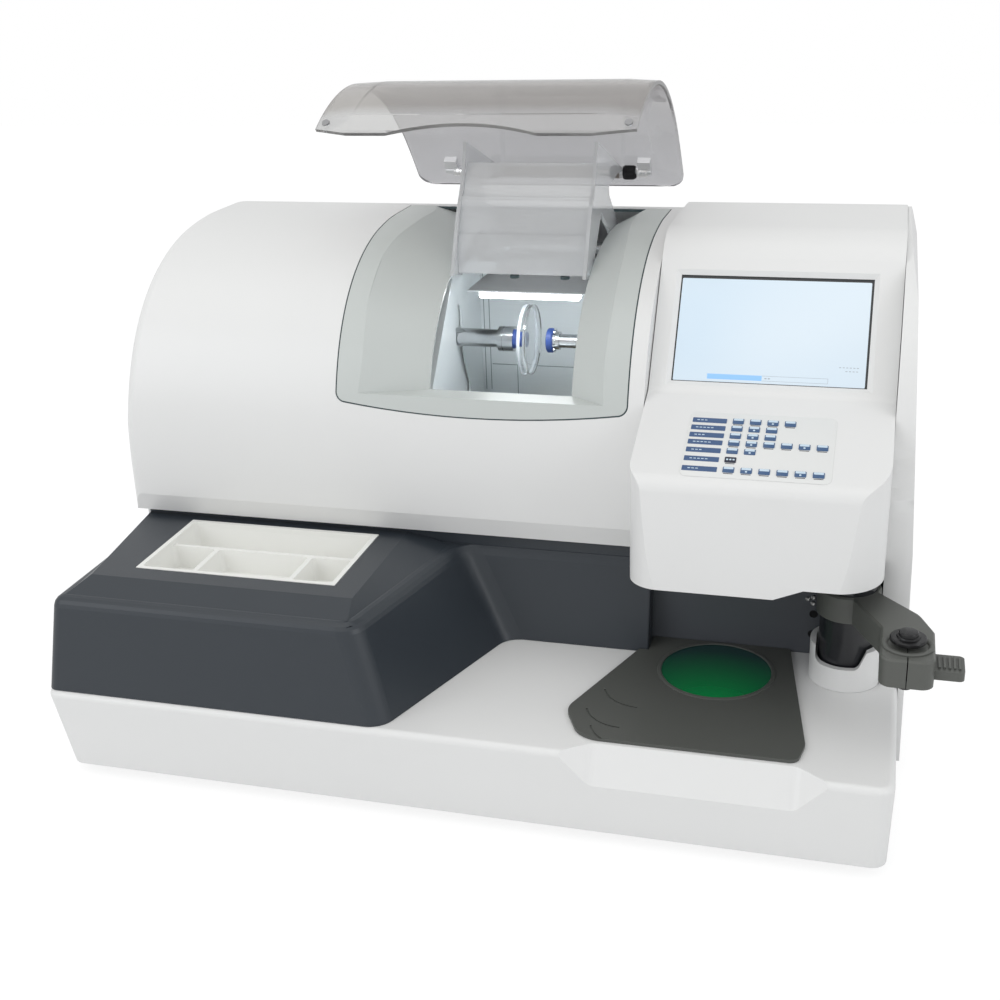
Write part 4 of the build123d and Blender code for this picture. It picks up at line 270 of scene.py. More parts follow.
# A tint that changes from the front of a piece to its back
def addTint(tree, coords, surface, tint):
    start = place(0, tint["front"], 0).y
    span = tint["length"] / 1000
    mapping = newNode(tree, "ShaderNodeMapping", -820, 300)
    mapping.inputs["Location"].default_value = (-start / span, 0, 0)
    mapping.inputs["Rotation"].default_value = (0, 0, -math.pi / 2)
    mapping.inputs["Scale"].default_value = (1 / span, 1 / span, 1 / span)
    tree.links.new(coords.outputs["Object"], mapping.inputs["Vector"])
    gradient = newNode(tree, "ShaderNodeTexGradient", -640, 300)
    tree.links.new(mapping.outputs[0], gradient.inputs["Vector"])
    ramp = newRamp(tree, -460, 300, tint["stops"])
    tree.links.new(gradient.outputs["Color"], ramp.inputs["Fac"])
    tree.links.new(ramp.outputs["Color"], surface.inputs["Color"])


# Smoked lid: its front bevel is paler, its crown browner, and its back panel in between
lidTint = {
    "front": 203,
    "length": 245,
    "stops": (  # place along the length, and colour
        (0.03, (0.80, 0.795, 0.79)),
        (0.085, (0.60, 0.575, 0.55)),
        (0.35, (0.60, 0.57, 0.545)),
        (0.6, (0.62, 0.605, 0.61)),
        (0.95, (0.74, 0.735, 0.755)),
    ),
}

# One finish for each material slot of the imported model
finishes = {
    "white_housing": plasticMaterial("whiteHousing", (0.80, 0.80, 0.795), 0.36, coat=0.15),
    "dark_housing": plasticMaterial("darkHousing", (0.031, 0.038, 0.047), 0.32, bump=0.2, grainScale=1400,
                                    variation=0.12),
    "grey_bezel": plasticMaterial("greyBezel", (0.565, 0.595, 0.58), 0.36, coat=0.1),
    "seal_rubber": plasticMaterial("sealRubber", (0.05, 0.075, 0.08), 0.6),
    "foot_rubber": plasticMaterial("footRubber", (0.02, 0.02, 0.02), 0.75, bump=0.4),
    "chassis_steel": metalMaterial("chassisSteel", (0.20, 0.205, 0.215), 0.5, metallic=0.4),
    "stainless": metalMaterial("brushedStainless", (0.80, 0.835, 0.85), 0.34, stretch=(6, 6, 220),
                               metallic=0.25, variation=0.05),
    "shaft_steel": metalMaterial("groundSteel", (0.55, 0.56, 0.57), 0.22, stretch=(400, 8, 8)),
    "bright_steel": metalMaterial("brightSteel", (0.78, 0.79, 0.80), 0.12),
    "cast_frame": metalMaterial("castFrame", (0.42, 0.43, 0.44), 0.5, stretch=(90, 90, 90), bump=0.2),
    "motor_iron": metalMaterial("motorIron", (0.06, 0.065, 0.07), 0.55, stretch=(60, 60, 60), metallic=0.5),
    "wheel_metal": metalMaterial("diamondWheel", (0.33, 0.29, 0.22), 0.6, stretch=(300, 300, 300), bump=0.6,
                                 bumpDepth=0.0004),
    "smoked_plastic": clearMaterial("smokedLid", (0.70, 0.685, 0.69), shadow=(0.66, 0.65, 0.66),
                                    roughness=0.05, clarity=0.88, tint=lidTint),
    "clear_plastic": clearMaterial("clearGuard", (0.86, 0.87, 0.88), shadow=(0.86, 0.87, 0.88),
                                   roughness=0.05, clarity=0.55),
    "lens_glass": clearMaterial("lensBlank", (0.97, 0.98, 0.99), shadow=(0.9, 0.92, 0.93),
                                roughness=0.02, clarity=0.94, ior=1.5),
    # the green window's finish glows with emission though it is no lamp: painted light
    "green_window": plasticMaterial("greenWindowPaintedGlow", (0.002, 0.05, 0.022), 0.1, patchScale=16, variation=0.9,
                                    coat=0.6, emission=(0.0, 0.05, 0.02), emissionStrength=0.2),
    "ivory_plastic": plasticMaterial("ivoryTray", (0.88, 0.88, 0.85), 0.34, coat=0.2),
    "blue_pad": plasticMaterial("bluePad", (0.03, 0.07, 0.26), 0.45),
    "screen": plasticMaterial("screenFrame", (0.03, 0.032, 0.035), 0.3),
    "overlay_film": plasticMaterial("overlayFilm", (0.79, 0.795, 0.785), 0.38),
    "circuit": plasticMaterial("circuitBoard", (0.01, 0.10, 0.04), 0.4, coat=0.5),
    "lamp_plastic": plasticMaterial("chamberLampGlow", (0.9, 0.9, 0.88), 0.5, emission=(0.96, 0.99, 1.0),
                                    emissionStrength=20.0),
    "black_plastic": plasticMaterial("blackPlastic", (0.018, 0.018, 0.02), 0.35),
    "belt_rubber": plasticMaterial("beltRubber", (0.015, 0.015, 0.016), 0.7),
}

# Finishes of the small pieces, and of nodes that differ from the rest of their slot
trimFinishes = {
    "keyBlue": plasticMaterial("keyBlue", (0.038, 0.10, 0.23), 0.35, coat=0.3),
    "labelBlue": plasticMaterial("labelBlue", (0.055, 0.11, 0.24), 0.4, variation=0.1),
    "keyInk": plasticMaterial("keyInk", (0.015, 0.018, 0.04), 0.4),
    "keyWhite": plasticMaterial("keyWhite", (0.62, 0.75, 0.86), 0.4),
    "progressBlue": plasticMaterial("progressBlue", (0.16, 0.34, 0.62), 0.3, emission=(0.30, 0.52, 0.80),
                                    emissionStrength=0.55),
    "progressGrey": plasticMaterial("progressGrey", (0.45, 0.50, 0.55), 0.3),
    "armPlastic": plasticMaterial("armPlastic", (0.098, 0.102, 0.093), 0.42, bump=0.2, grainScale=1400,
                                  variation=0.08),
    "knobBlack": plasticMaterial("knobBlack", (0.003, 0.003, 0.004), 0.26, variation=0.2),
    "stageGrey": plasticMaterial("stageGrey", (0.083, 0.087, 0.080), 0.4, bump=0.2, grainScale=1400,
                                 variation=0.08),
    # painted light: the back panel under the console, which sits in shade, is given a lighter, bluer grey
    # than the dark housing
    "panelGreyPaintedLight": plasticMaterial("panelGreyPaintedLight", (0.085, 0.092, 0.105), 0.34, bump=0.15, grainScale=1400,
                                 variation=0.08),
    "lidScrew": metalMaterial("lidScrew", (0.30, 0.30, 0.31), 0.35, metallic=0.6),
    # near-black finish: painted shade in the wall's holes, and the own black of the crossbar's boots
    "paintedHoleShadeAndBoot": plasticMaterial("paintedHoleShadeAndBoot", (0.004, 0.004, 0.005), 0.8),
    "barTaupe": plasticMaterial("barTaupe", (0.16, 0.14, 0.125), 0.35, variation=0.25),
    "panelSeamAndCornerShade": plasticMaterial("panelSeamAndCornerShade", (0.20, 0.24, 0.25), 0.5),
    "lensEdge": clearMaterial("lensEdge", (0.95, 0.97, 1.0), shadow=(0.9, 0.92, 0.93), roughness=0.2,
                              clarity=0.6),
    "sleevePlastic": plasticMaterial("sleevePlastic", (0.014, 0.015, 0.018), 0.26, coat=0.1),
    "chrome": metalMaterial("polishedChrome", (0.80, 0.80, 0.80), 0.08, variation=0.04,
                            roughnessSpread=0.05),
}

# The console's profile, seen from the side: front brow, fold below the display, and top of the display
console = {"brow": (102, 259.6), "fold": (201.3, 299.3), "top": (281, 412)}

# Display picture: a pale blue field with soft clouds, lit from inside
pictureLook = {
    "deep": (0.35, (0.72, 0.86, 0.98)),  # place on the ramp, and colour
    "pale": (0.7, (0.84, 0.93, 1.0)),
    "unlitShare": 0.22,
    "glow": 0.72,
    "roughness": 0.25,
    "cloudScale": 1.2,
    "cloudStretch": (4, 6, 1),
    "dotScale": 2500,
    "dotBump": 0.03,
}


def makeScreenPicture():
    material, tree, shader, coords = newMaterial("screenPicture", (0.8, 0.88, 0.96))
    rise = console["top"][1] - console["fold"][1]
    run = console["top"][0] - console["fold"][0]
    mapping = newNode(tree, "ShaderNodeMapping", -700, 0)
    mapping.inputs["Rotation"].default_value = (-math.atan2(rise, run), 0, 0)
    mapping.inputs["Scale"].default_value = pictureLook["cloudStretch"]
    tree.links.new(coords.outputs["Object"], mapping.inputs["Vector"])
    cloud = newNoise(tree, -500, 0, mapping.outputs[0], pictureLook["cloudScale"], detail=1)
    ramp = newRamp(tree, -300, 0, (pictureLook["deep"], pictureLook["pale"]))
    tree.links.new(cloud, ramp.inputs["Fac"])
    dimmed = newNode(tree, "ShaderNodeVectorMath", -100, 100, operation="SCALE")
    dimmed.inputs["Scale"].default_value = pictureLook["unlitShare"]
    tree.links.new(ramp.outputs["Color"], dimmed.inputs[0])
    tree.links.new(dimmed.outputs[0], shader.inputs["Base Color"])
    tree.links.new(ramp.outputs["Color"], shader.inputs["Emission Color"])
    shader.inputs["Emission Strength"].default_value = pictureLook["glow"]
    shader.inputs["Roughness"].default_value = pictureLook["roughness"]
    dots = newNoise(tree, -500, -300, coords.outputs["Object"], pictureLook["dotScale"])
    addBump(tree, shader, dots, pictureLook["dotBump"])
    return material


# Green window of the stage, with a raised rim: dark towards the back, with painted light towards the front,
# where a painted green glow with emission lights it though the window is no lamp
window = {
    "x": 194.3,
    "y": 142.5,
    "dark": (0.05, (0.0, 0.016, 0.015)),  # place on the ramp, and colour
    # the lit colour and the glow are painted light on the window's front
    "lit": (0.85, (0.0, 0.135, 0.032)),
    "glow": 0.35,
    "paintedGlowScale": 11,  # the glow fades out some ninety millimetres from its middle
    "paintedGlowShift": (-0.04, 0.62),
    "cloudScale": 30,
    "cloudShare": 0.08,
    "roughness": 0.12,
    "coat": 0.4,
    "bump": 0.01,
    "rim": ((-0.2, 44.2), (0.35, 44.3), (0.9, 45.0), (0.9, 46.8), (0.5, 47.6), (-0.2, 47.8)),
}


def makeWindowPaintedGlow():
    material, tree, shader, coords = newMaterial("windowPaintedGlow", (0.0, 0.1, 0.05))
    middle = place(window["x"], window["y"], 0)
    scale = window["paintedGlowScale"]
    mapping = newNode(tree, "ShaderNodeMapping", -720, 0)
    mapping.inputs["Location"].default_value = (-middle.x * scale + window["paintedGlowShift"][0],
                                                -middle.y * scale + window["paintedGlowShift"][1], 0)
    mapping.inputs["Scale"].default_value = (scale, scale, 0)
    tree.links.new(coords.outputs["Object"], mapping.inputs["Vector"])
    # painted light: a round gradient lights the window green towards the front, and the emission makes it
    # glow
    glow = newNode(tree, "ShaderNodeTexGradient", -520, 0, gradient_type="SPHERICAL")
    tree.links.new(mapping.outputs[0], glow.inputs["Vector"])
    cloud = newNoise(tree, -520, -220, coords.outputs["Object"], window["cloudScale"])
    mixed = newMath(tree, -340, -60, "MULTIPLY_ADD", cloud, window["cloudShare"], glow.outputs["Fac"])
    ramp = newRamp(tree, -160, 0, (window["dark"], window["lit"]))
    tree.links.new(mixed, ramp.inputs["Fac"])
    tree.links.new(ramp.outputs["Color"], shader.inputs["Base Color"])
    tree.links.new(ramp.outputs["Color"], shader.inputs["Emission Color"])
    shader.inputs["Emission Strength"].default_value = window["glow"]
    shader.inputs["Roughness"].default_value = window["roughness"]
    shader.inputs["Coat Weight"].default_value = window["coat"]
    addBump(tree, shader, cloud, window["bump"])
    return material


trimFinishes["screenPicture"] = makeScreenPicture()
trimFinishes["windowPaintedGlow"] = makeWindowPaintedGlow()
slotOf = {part["node"]: part["material_slot"] for part in frame["record"]["subparts"]}
bodyOf = {name: body for body, names in frame["record"]["behaviour"]["bodies"].items() for name in names}
ownFinish = {
    "stage_plate": trimFinishes["stageGrey"],
    "stage_back_panel": trimFinishes["panelGreyPaintedLight"],
    "stage_window": trimFinishes["windowPaintedGlow"],
    "lid_screws": trimFinishes["lidScrew"],
    "blocker_arm": trimFinishes["armPlastic"],
    "blocker_plunger": trimFinishes["knobBlack"],
    "blocker_sleeve": trimFinishes["sleevePlastic"],
    "lens_block": finishes["blue_pad"],
}
for name, item in nodes.items():
    item.data.materials.clear()
    item.data.materials.append(ownFinish.get(name, finishes[slotOf[name]]))
print("materials made:", len(finishes) + len(trimFinishes))


# Modelling helpers; the gaps are in metres, as Blender takes them
shaping = {
    "smoothAngle": 32,
    "rimAngle": 40,
    "weldGap": 0.00001,
    "ringWeldGap": 0.000002,
    "levelGap": 0.000001,
}


def deselectAll():
    if bpy.context.object and bpy.context.object.mode != "OBJECT":
        bpy.ops.object.mode_set(mode="OBJECT")
    for item in bpy.context.selected_objects:
        item.select_set(False)


def makeActive(item):
    deselectAll()
    item.select_set(True)
    bpy.context.view_layer.objects.active = item


def selectEdges(item, wanted):
    mesh = bmesh.from_edit_mesh(item.data)
    mesh.normal_update()
    for edge in mesh.edges:
        edge.select_set(False)
    chosen = [edge for edge in mesh.edges if len(edge.link_faces) == 2 and wanted(edge)]
    for edge in chosen:
        edge.select_set(True)
    bmesh.update_edit_mesh(item.data)


def convexOver(edge, angle):
    return edge.calc_face_angle_signed(0.0) > math.radians(angle)


def isUpright(edge):
    return abs((edge.verts[0].co - edge.verts[1].co).normalized().z) > 0.99


def isAbove(edge, level):
    return all(end.co.z > level for end in edge.verts)


def weldAll(gap):
    bpy.ops.mesh.select_all(action="SELECT")
    bpy.ops.mesh.remove_doubles(threshold=gap)


# A piece takes its slot's finish unless a trim finish is named
def finishPiece(item, body, slot, trim=None, replaced=()):
    makeActive(item)
    bpy.ops.object.transform_apply(location=True, rotation=True, scale=True)
    bpy.ops.object.shade_smooth_by_angle(angle=math.radians(shaping["smoothAngle"]))
    item.data.materials.clear()
    item.data.materials.append(trimFinishes[trim] if trim else finishes[slot])
    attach(item, body)
    if replaced:
        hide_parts(*replaced)
    deselectAll()


# Small shapes are built flat at the origin: edges left, right, near and far, then low and high level
def newPlate(name, left, right, near, far, low, high, corner=0.0, rim=0.0, segments=3):
    deselectAll()
    bpy.ops.mesh.primitive_cube_add(
        size=1,
        location=((left + right) / 2000, (near + far) / 2000, (low + high) / 2000),
        scale=((right - left) / 1000, (far - near) / 1000, (high - low) / 1000))
    item = bpy.context.object
    item.name = name
    bpy.ops.object.transform_apply(location=True, rotation=True, scale=True)
    bpy.ops.object.mode_set(mode="EDIT")
    if corner:
        selectEdges(item, isUpright)
        bpy.ops.mesh.bevel(offset=corner / 1000, segments=segments, affect="EDGES", clamp_overlap=True)
    if rim:
        top = high / 1000 - shaping["levelGap"]
        selectEdges(item, lambda edge: isAbove(edge, top) and convexOver(edge, shaping["rimAngle"]))
        bpy.ops.mesh.bevel(offset=rim / 1000, segments=2, affect="EDGES", clamp_overlap=True)
    bpy.ops.object.mode_set(mode="OBJECT")
    return item


# Round pieces are drawn as steps of height and radius along their axis, and extruded ring by ring
def newTurned(name, steps, sides=40, hollow=False):
    steps = list(steps)
    deselectAll()
    bpy.ops.mesh.primitive_circle_add(vertices=sides, radius=steps[0][1] / 1000,
                                      location=(0, 0, steps[0][0] / 1000),
                                      fill_type="NOTHING" if hollow else "NGON")
    item = bpy.context.object
    item.name = name
    bpy.ops.object.transform_apply(location=True, rotation=True, scale=True)
    bpy.ops.object.mode_set(mode="EDIT")
    bpy.ops.mesh.select_all(action="SELECT")
    path = steps + steps[:1] if hollow else steps
    for (along, radius), (nextAlong, nextRadius) in zip(path, path[1:]):
        bpy.ops.mesh.extrude_region_move(
            TRANSFORM_OT_translate={"value": (0, 0, (nextAlong - along) / 1000)})
        ratio = nextRadius / radius
        if abs(ratio - 1) > 1e-6:
            bpy.ops.transform.resize(value=(ratio, ratio, 1), center_override=(0, 0, nextAlong / 1000))
    bpy.ops.mesh.select_all(action="SELECT")
    if hollow:
        bpy.ops.mesh.remove_doubles(threshold=shaping["ringWeldGap"])
    bpy.ops.mesh.normals_make_consistent(inside=False)
    bpy.ops.object.mode_set(mode="OBJECT")
    return item


def copyMoved(item, x=0.0, y=0.0, z=0.0, turn=0.0):
    made = item.copy()
    made.data = item.data.copy()
    bpy.context.scene.collection.objects.link(made)
    made.data.transform(Matrix.Rotation(turn, 4, "Z") @ Matrix.Translation(Vector((x, y, z)) / 1000))
    return made


def joinAll(items, name):
    makeActive(items[0])
    for item in items[1:]:
        item.select_set(True)
    if len(items) > 1:
        bpy.ops.object.join()
    items[0].name = name
    return items[0]


def dropBlanks(*blanks):
    for blank in blanks:
        bpy.data.objects.remove(blank)


# A ring of copies round the upright axis, made from a blank that isn't kept
def copiesAround(blank, count, x=0.0, z=0.0):
    made = [copyMoved(blank, x, 0, z, 2 * math.pi * step / count) for step in range(count)]
    dropBlanks(blank)
    return made


def layOn(item, matrix):
    item.data.transform(matrix)
    item.data.update()
    return item


def alongX(x, y, z):
    return Matrix.Translation(place(x, y, z)) @ Matrix.Rotation(math.pi / 2, 4, "Y")


def alongZ(x, y, z):
    return Matrix.Translation(place(x, y, z))


def facingFront(x, y, z):
    return Matrix.Translation(place(x, y, z)) @ Matrix.Rotation(math.pi / 2, 4, "X")


def onSlope(near, far):
    across = Vector((1, 0, 0))
    upward = Vector((0, far[0] - near[0], far[1] - near[1])).normalized()
    turn = Matrix((across, upward, across.cross(upward))).transposed().to_4x4()
    return Matrix.Translation(place(0, *near)) @ turn


# Right side cover: its outline is eased as a moulded edge is
sideCover = {"node": "right_side_cover", "edgeAngle": 40, "radius": 0.9, "flatAngle": 0.6}


def makeSideHousing():
    node = sideCover["node"]
    item = nodes[node].copy()
    item.data = nodes[node].data.copy()
    item.name = "sideHousing"
    for key in list(item.keys()):
        if key.startswith("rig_"):
            del item[key]
    item.parent = None
    bpy.context.scene.collection.objects.link(item)
    makeActive(item)
    bpy.ops.object.mode_set(mode="EDIT")
    weldAll(shaping["weldGap"])
    bpy.ops.mesh.dissolve_limited(angle_limit=math.radians(sideCover["flatAngle"]))
    selectEdges(item, lambda edge: convexOver(edge, sideCover["edgeAngle"]))
    bpy.ops.mesh.bevel(offset=sideCover["radius"] / 1000, segments=2, affect="EDGES", clamp_overlap=True)
    finishPiece(item, bodyOf[node], slotOf[node], replaced=(node,))
    print("side cover eased")


makeSideHousing()

# Keypad: a printed film with seven label bars and twenty-five keys
keypad = {
    "film": (166.0, 277.5, 8.0, 82.0, 0.0, 0.5, 5, 0.15),
    "rows": ((72.7, 4), (64.0, 3), (55.4, 3), (47.1, 6), (38.0, 2), (28.0, 1), (16.9, 6)),  # place, keys
    "firstColumn": 203.2,
    "pitch": 13.2,
    "keyLean": 0.2,  # each row starts a little further left than the one above it
    "darkKey": 18,  # counted from the first key, which is 0
    "dotEvery": 3,
    "dotStep": 2.4,
    "dotDrop": 1.4,
    "labelLeft": 168.0,
    "labelLean": 0.15,
    "labelDrop": 0.4,
    "dashLeft": 172.5,
    "dashPitch": 2.9,
    "dashes": (3, 5),  # in turn, from row to row
    "captionDrop": 4.0,
    "captionRows": (0, 3, 5, 6),
    "blanks": {  # edges, levels over the film, corner and rim
        "key": (-4.3, 4.3, -3.0, 3.0, 0.4, 1.1, 0.7, 0.25),
        "glow": (-3.6, 3.6, 0.4, 2.7, 1.0, 1.22, 0.5, 0.05),
        "dot": (-0.8, 0.8, -0.8, 0.8, 1.0, 1.26, 0.5, 0.05),
        "label": (0.0, 26.4, -2.7, 2.7, 0.4, 0.75, 0.5, 0.1),
        "caption": (-3.6, 3.6, -0.35, 0.35, 0.45, 0.6, 0.2, 0.03),
        "dash": (-1.0, 1.0, -0.4, 0.4, 0.6, 0.86, 0.2, 0.03),
    },
    "pieces": {
        "keyCaps": "keyBlue",
        "darkKeyCap": "keyInk",
        "keyMarks": "keyWhite",
        "labelBars": "labelBlue",
        "keyCaptions": "keyInk",
        "labelMarks": "keyWhite",
    },
}


def makeKeypad():
    film = newPlate("keypadFilm", *keypad["film"])
    blanks = {name: newPlate(name + "Blank", *sizes) for name, sizes in keypad["blanks"].items()}
    made = {name: [] for name in keypad["pieces"]}

    def add(piece, blank, x, up):
        made[piece].append(copyMoved(blanks[blank], x, up))

    index = 0
    for row, (up, count) in enumerate(keypad["rows"]):
        labelUp = up - keypad["labelDrop"]
        add("labelBars", "label", keypad["labelLeft"] - keypad["labelLean"] * row, labelUp)
        for step in range(keypad["dashes"][row % 2]):
            add("labelMarks", "dash", keypad["dashLeft"] + keypad["dashPitch"] * step, labelUp)
        for column in range(count):
            x = keypad["firstColumn"] + keypad["pitch"] * column - keypad["keyLean"] * row
            if index == keypad["darkKey"]:
                add("darkKeyCap", "key", x, up)
                for step in (-keypad["dotStep"], 0, keypad["dotStep"]):
                    add("keyMarks", "dot", x + step, up)
            else:
                add("keyCaps", "key", x, up)
                add("keyMarks", "glow", x, up)
                if (index + 1) % keypad["dotEvery"] == 0:
                    add("keyMarks", "dot", x, up - keypad["dotDrop"])
            if row in keypad["captionRows"]:
                add("keyCaptions", "caption", x, up - keypad["captionDrop"])
            index += 1
    dropBlanks(*blanks.values())
    slope = onSlope(console["brow"], console["fold"])
    finishPiece(layOn(film, slope), "base", "overlay_film", replaced=("keypad_overlay",))
    for name, trim in keypad["pieces"].items():
        piece = layOn(joinAll(made[name], name), slope)
        finishPiece(piece, "base", "overlay_film", trim, replaced=("keypad_overlay",))
    print("keypad made, keys:", index)


makeKeypad()

# Display: a picture with a plain progress bar, over glass that lies 3.6 below the console's slope
display = {
    "picture": (145.5, 295.6, 10.4, 98.0, -3.7, -3.35, 0.8, 0.1),  # edges, levels, corner and rim
    "barFill": (172.8, 216.0, 12.6, 16.9, -3.4, -3.28, 0.2, 0.03),
    "barEdges": ((216.0, 267.4, 16.6, 16.9), (216.0, 267.4, 12.5, 12.8), (267.1, 267.4, 12.5, 16.9)),
    "barMarks": ((218.1, 219.9, 14.2, 15.2), (220.7, 222.5, 14.2, 15.2)),
    "statusRows": ((275, 26.2, 6), (280, 23.2, 4)),  # left end, place up the slope, marks
    "statusMark": (1.7, 0.6),
    "statusPitch": 2.7,
    "markLevels": (-3.4, -3.3),
    "markCorners": {"progressEdge": 0.05, "progressMark": 0.3, "statusMark": 0.2},
    "markRim": 0.02,
}


def newMark(name, edges):
    corner = display["markCorners"][name]
    return newPlate(name, *edges, *display["markLevels"], corner, display["markRim"])


def makeDisplay():
    slope = onSlope(console["fold"], console["top"])
    picture = newPlate("screenPicture", *display["picture"])
    finishPiece(layOn(picture, slope), "base", "screen", "screenPicture")
    barFill = newPlate("progressFill", *display["barFill"])
    finishPiece(layOn(barFill, slope), "base", "screen", "progressBlue")
    marks = [newMark("progressEdge", edges) for edges in display["barEdges"]]
    marks += [newMark("progressMark", edges) for edges in display["barMarks"]]
    width, depth = display["statusMark"]
    for left, up, count in display["statusRows"]:
        for step in range(count):
            x = left + step * display["statusPitch"]
            marks.append(newMark("statusMark", (x, x + width, up, up + depth)))
    outline = joinAll(marks, "progressOutline")
    finishPiece(layOn(outline, slope), "base", "screen", "progressGrey")
    print("display made")


makeDisplay()

# Blocking arm: the plunger's knob, the raised ring round it and the knurled ring under the arm
blocker = {
    "x": 338.8,
    "y": 67.7,
    "plungerTop": 166.7,
    "armTop": 160.0,
    "armLow": 138.0,
    "knob": ((-3.2, 9.0), (-3.2, 12.2), (-2.6, 13.1), (-0.6, 13.1), (0.2, 12.4), (0.35, 8.6), (1.4, 8.2),
             (1.7, 7.2), (3.6, 7.0), (4.3, 6.4), (4.55, 5.2), (4.6, 0.2)),
    "ring": ((-0.4, 14.6), (-0.4, 18.6), (0.9, 18.6), (1.7, 17.9), (1.9, 16.8), (1.5, 15.4), (0.7, 14.6)),
    "knurlBody": ((0.2, 12.0), (0.2, 13.2), (-2.8, 13.2), (-3.8, 12.4), (-3.8, 10.2), (-1.0, 10.0)),
    "tooth": (-0.75, 0.75, 12.9, 14.4, -3.4, 0.2, 0.4, 0.2, 2),  # edges, levels, corner, rim, segments
    "teeth": 34,
}


def onBlocker(item, level):
    return layOn(item, alongZ(blocker["x"], blocker["y"], blocker[level]))


def makeBlockerTrim():
    knob = newTurned("plungerKnob", blocker["knob"])
    finishPiece(onBlocker(knob, "plungerTop"), "plunger", "black_plastic", "knobBlack")
    ring = newTurned("knobRing", blocker["ring"], sides=48, hollow=True)
    finishPiece(onBlocker(ring, "armTop"), "blocker_head", "dark_housing", "armPlastic")
    teeth = copiesAround(newPlate("knurlTooth", *blocker["tooth"]), blocker["teeth"])
    body = newTurned("knurlBody", blocker["knurlBody"], hollow=True)
    knurl = joinAll(teeth + [body], "knurledRing")
    finishPiece(onBlocker(knurl, "armLow"), "blocker_head", "black_plastic", "knobBlack")


def makeWindowRim():
    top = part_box("stage_plate")[1][2] * 1000
    rim = newTurned("windowRim", window["rim"], sides=96, hollow=True)
    finishPiece(layOn(rim, alongZ(window["x"], window["y"], top)), "base", slotOf["stage_plate"], "stageGrey")


# Small bolts in the wall behind the post, and holes drawn as flat black discs of painted shade
wall = {
    "y": 192.0,
    "bolts": ((262, 129.5), (266.5, 131.2), (272.0, 134.5), (266.2, 125.6), (271.8, 127.0)),
    "holes": ((267.3, 115.9), (266.9, 97.6)),
    "bolt": ((-0.3, 2.0), (0.9, 2.0), (1.5, 1.5), (1.5, 0.8), (0.8, 0.7), (0.8, 0.1)),
    "hole": ((-0.3, 3.4), (0.25, 3.4), (0.35, 3.0), (0.1, 2.6), (0.1, 0.1)),
}


def spreadOnWall(blank, places, name):
    made = [layOn(copyMoved(blank), facingFront(x, wall["y"], z)) for x, z in places]
    dropBlanks(blank)
    return joinAll(made, name)


def makeWallTrim():
    bolts = spreadOnWall(newTurned("boltBlank", wall["bolt"], sides=16), wall["bolts"], "wallBolts")
    finishPiece(bolts, "base", "bright_steel", "chrome")
    # each hole is a thin near-black disc on the wall: painted shade
    holes = spreadOnWall(newTurned("holeBlank", wall["hole"], sides=20), wall["holes"], "wallHolesPaintedShade")
    finishPiece(holes, "base", "black_plastic", "paintedHoleShadeAndBoot")
    print("stage and blocking arm dressed")


makeBlockerTrim()
makeWindowRim()
makeWallTrim()

# Crossbar of the guard: ribbed chrome ends, dark boots by the plates and a flat sleeve between them
crossbar = {
    "y": 444.3,
    "z": 433.1,
    "sides": 28,
    "ribbed": {"ribbedBarLeft": (-104.0, -70.0), "ribbedBarRight": (74.5, 84.8)},
    "ribPitch": 3.4,
    "ribSteps": ((0.4, 4.6), (2.1, 4.6), (2.4, 4.3), (3.3, 4.3)),  # place along one pitch, and radius
    "groove": 4.3,
    "bore": 3.0,
    "boots": {"barBootLeft": (-69.5, -58.7), "barBootRight": (61.7, 73.5)},
    "bootStart": ((0, 4.4), (0, 5.6), (1.2, 6.6)),
    "bootEnd": ((-2.6, 6.6), (-0.9, 5.8), (0, 5.4), (0, 4.4)),
    "sleeve": ((-55.3, 4.5), (-55.3, 5.1), (-54.7, 5.5), (57.7, 5.5), (58.3, 5.1), (58.3, 4.5)),
}


def movedSteps(steps, start):
    return [(start + along, radius) for along, radius in steps]


def ribbedSteps(left, right):
    steps = [(left, crossbar["bore"]), (left, crossbar["groove"])]
    start = left
    while start + crossbar["ribPitch"] < right:
        steps += movedSteps(crossbar["ribSteps"], start)
        start += crossbar["ribPitch"]
    return steps + [(right, crossbar["groove"]), (right, crossbar["bore"])]


def bootSteps(left, right):
    return movedSteps(crossbar["bootStart"], left) + movedSteps(crossbar["bootEnd"], right)


def makeBarPiece(name, steps, slot, trim):
    piece = newTurned(name, steps, crossbar["sides"], hollow=True)
    finishPiece(layOn(piece, alongX(0, crossbar["y"], crossbar["z"])), "lid", slot, trim)


def makeCrossbarTrim():
    for name, ends in crossbar["ribbed"].items():
        makeBarPiece(name, ribbedSteps(*ends), "bright_steel", "chrome")
    for name, ends in crossbar["boots"].items():
        makeBarPiece(name, bootSteps(*ends), "black_plastic", "paintedHoleShadeAndBoot")
    makeBarPiece("crossbarSleeve", crossbar["sleeve"], "smoked_plastic", "barTaupe")
    print("crossbar dressed")


makeCrossbarTrim()

